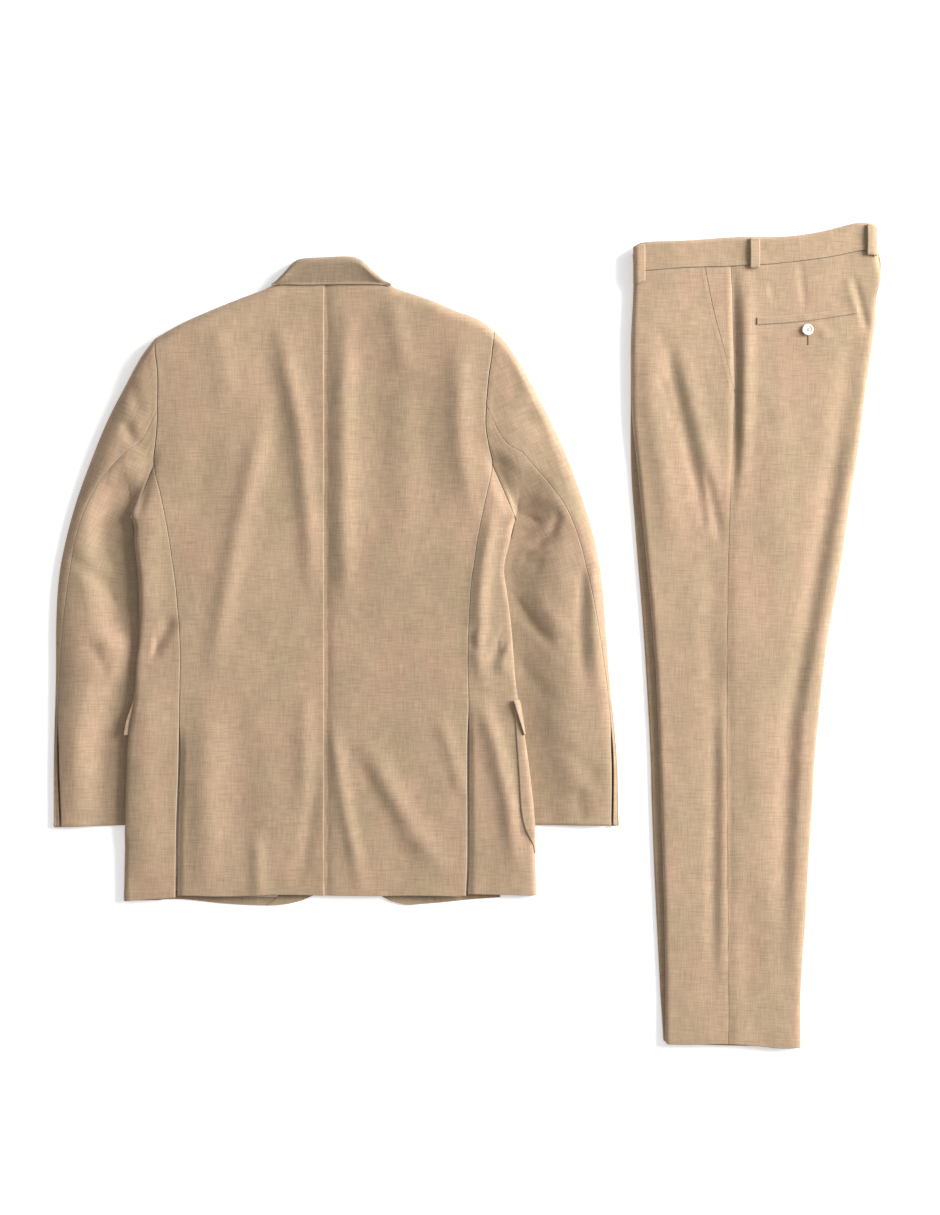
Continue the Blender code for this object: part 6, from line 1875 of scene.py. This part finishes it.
@dataclass
class StitchRun:
    """A run of stitches on the cloth.

    Args:
        name: the piece's name.
        path: points in the row frame, in millimetres.
        thread: the thread's material.
        pitch: from one stitch to the next.
        length: of a stitch.
        width: of the thread as it lies.
        height: of the thread.
    """

    name: str
    path: Array
    thread: bpy.types.Material
    pitch: float = 2.4
    length: float = 1.9
    width: float = 0.42
    height: float = 0.34

    def build(self) -> None:
        """Sews the run as a plain mesh."""
        mesh = bpy.data.meshes.new(self.name)
        count = len(self.path)
        mesh.from_pydata((self.path * MM).tolist(), [(n, n + 1) for n in range(count - 1)], [])
        guide = bpy.data.objects.new(f"{self.name}_path", mesh)
        bpy.context.scene.collection.objects.link(guide)
        modifier = guide.modifiers.new("stitches", "NODES")
        modifier.node_group = stitch_tree()
        values = {"Pitch": self.pitch * MM, "Length": self.length * MM, "Width": self.width * MM,
                  "Height": self.height * MM, "Thread": self.thread}
        for item in modifier.node_group.interface.items_tree:
            if item.name in values:
                modifier[item.identifier] = values[item.name]
        graph = bpy.context.evaluated_depsgraph_get()
        graph.update()
        sewn = bpy.data.meshes.new_from_object(guide.evaluated_get(graph))
        bpy.data.objects.remove(guide)
        sewn.name = self.name
        add_piece(self.name, sewn)


@dataclass
class Sewing:
    """The stitches that show on the trousers.

    Args:
        wardrobe: the finishes.
        slant_in: how far the pocket's top stitching is in from its edge.
        buttonhole: up from the hem, its lower and upper end below the button.
    """

    wardrobe: Wardrobe
    slant_in: float = 5.5
    buttonhole: tuple[float, float] = (874.5, 886.0)

    def on_leg(self, leg: Leg, x: Array, up: Array, above: float) -> Array:
        """Points on the trouser's cloth in the row frame."""
        points = points_of(x, up, leg.rounded(x, up) + above)
        return points + np.array([*TROUSERS_AT, 0.0])

    def build(self, leg: Leg, button_base: float, button: BackButton) -> None:
        """Sews the pocket's edge, the loops' bar tacks, the buttonhole and the button.

        Args:
            leg: the leg that carries them.
            button_base: height of the button's base.
            button: the button.
        """
        up = np.array(spread(826, 964, 60))
        x = along(POCKET_SLANT, up) - self.slant_in
        StitchRun("pocket_edge_stitches", self.on_leg(leg, x, up, 0.12), self.wardrobe.thread).build()
        for name, left, right, drop in BELT_LOOPS:
            x = np.array(spread(left + 1.2, right - 1.2, 6))
            low = along(WAIST_SEAM, (left + right) / 2) - drop + 1.6
            path = self.on_leg(leg, x, np.full_like(x, float(low)), THIN_CLOTH + GAP + WAISTBAND_STEP + 0.6)
            StitchRun(f"belt_loop_{name}_tack", path, self.wardrobe.thread, pitch=0.55, length=0.5,
                      width=2.0, height=0.5).build()
        up = np.array(spread(*self.buttonhole, 10))
        x = np.full_like(up, button.centre[0] + 0.6)
        StitchRun("buttonhole_stitches", self.on_leg(leg, x, up, 0.25), self.wardrobe.dark_thread, pitch=0.5,
                  length=0.45, width=2.3, height=0.6).build()
        top = button_base + button.face * button.height - 0.1
        ends = np.array([-1.0, 1.0]) * button.hole_out * 0.98
        for order, turn in enumerate((math.pi / 4, 3 * math.pi / 4)):
            x, y = button.centre[0] + np.cos(turn) * ends, button.centre[1] + np.sin(turn) * ends
            path = points_of(x, y, np.full(2, top)) + np.array([*TROUSERS_AT, 0.0])
            StitchRun(f"button_thread_{order}", path, self.wardrobe.dark_thread, pitch=1.45, length=1.7,
                      width=0.55, height=0.5).build()


# The studio


@dataclass
class Studio:
    """A white floor, soft light from the right, and a camera straight above.

    Args:
        middle: the point that the photograph's middle shows, in millimetres.
        view_height: how much of the floor the photograph's height covers.
        lens: the camera's focal length.
        sensor: the sensor's long side.
        floor_size: side of the floor.
        room_light: strength of the white room's light.
    """

    middle: tuple[float, float, float] = (3.31, 35.02, 10.0)
    view_height: float = 1518.75
    lens: float = 85.0
    sensor: float = 36.0
    floor_size: float = 14000.0
    room_light: float = 0.55

    def build(self) -> None:
        """Makes the floor, the lights and the camera."""
        self.build_floor()
        self.build_lights()
        self.build_camera()

    def build_floor(self) -> None:
        """A plain floor under the suit."""
        half = self.floor_size / 2 * MM
        mesh = bpy.data.meshes.new("floor")
        corners = [(-half, -half, 0), (half, -half, 0), (half, half, 0), (-half, half, 0)]
        mesh.from_pydata(corners, [], [(0, 1, 2, 3)])
        mesh.materials.append(FloorFinish().material())
        floor = bpy.data.objects.new("floor", mesh)
        floor.location.z = -0.2 * MM  # clear of the cloth that lies on it
        bpy.context.scene.collection.objects.link(floor)

    def area_light(self, name: str, place: tuple[float, float, float], size: float, power: float) -> None:
        """A square soft light that points at the suit's middle.

        Args:
            name: the light's name.
            place: where it hangs, in metres.
            size: its side, in metres.
            power: in watts.
        """
        data = bpy.data.lights.new(name, "AREA")
        data.size = size
        data.energy = power
        lamp = bpy.data.objects.new(name, data)
        lamp.location = place
        lamp.rotation_euler = (-Vector(place)).to_track_quat("-Z", "Y").to_euler()
        bpy.context.scene.collection.objects.link(lamp)

    def build_lights(self) -> None:
        """A large light low on the right, a weak one nearer, and a white room."""
        self.area_light("window", (4.6, 1.6, 2.1), 2.8, 780.0)
        self.area_light("near_window", (1.9, 0.9, 1.0), 1.6, 12.0)
        world = bpy.data.worlds.new("white_room")
        world.use_nodes = True
        background = world.node_tree.nodes["Background"]
        background.inputs["Color"].default_value = (1.0, 1.0, 1.0, 1.0)
        background.inputs["Strength"].default_value = self.room_light
        bpy.context.scene.world = world

    def build_camera(self) -> None:
        """The camera, straight above the photograph's middle."""
        data = bpy.data.cameras.new("camera")
        data.lens = self.lens
        data.sensor_width = self.sensor
        camera = bpy.data.objects.new("camera", data)
        x, y, z = self.middle
        camera.location = (x * MM, y * MM, (z + self.view_height * self.lens / self.sensor) * MM)
        bpy.context.scene.collection.objects.link(camera)
        bpy.context.scene.camera = camera
        bpy.context.scene.view_settings.view_transform = "Standard"


def main() -> None:
    """Builds the suit and its studio."""
    logging.basicConfig(level=logging.INFO, format="%(name)s: %(message)s")
    wardrobe = Wardrobe()
    Jacket(wardrobe).build()
    leg = Leg()
    Trousers(wardrobe, leg).build()
    button = BackButton(wardrobe)
    base = button.build(leg)
    Sewing(wardrobe).build(leg, base, button)
    Studio().build()


if __name__ == "__main__":
    main()
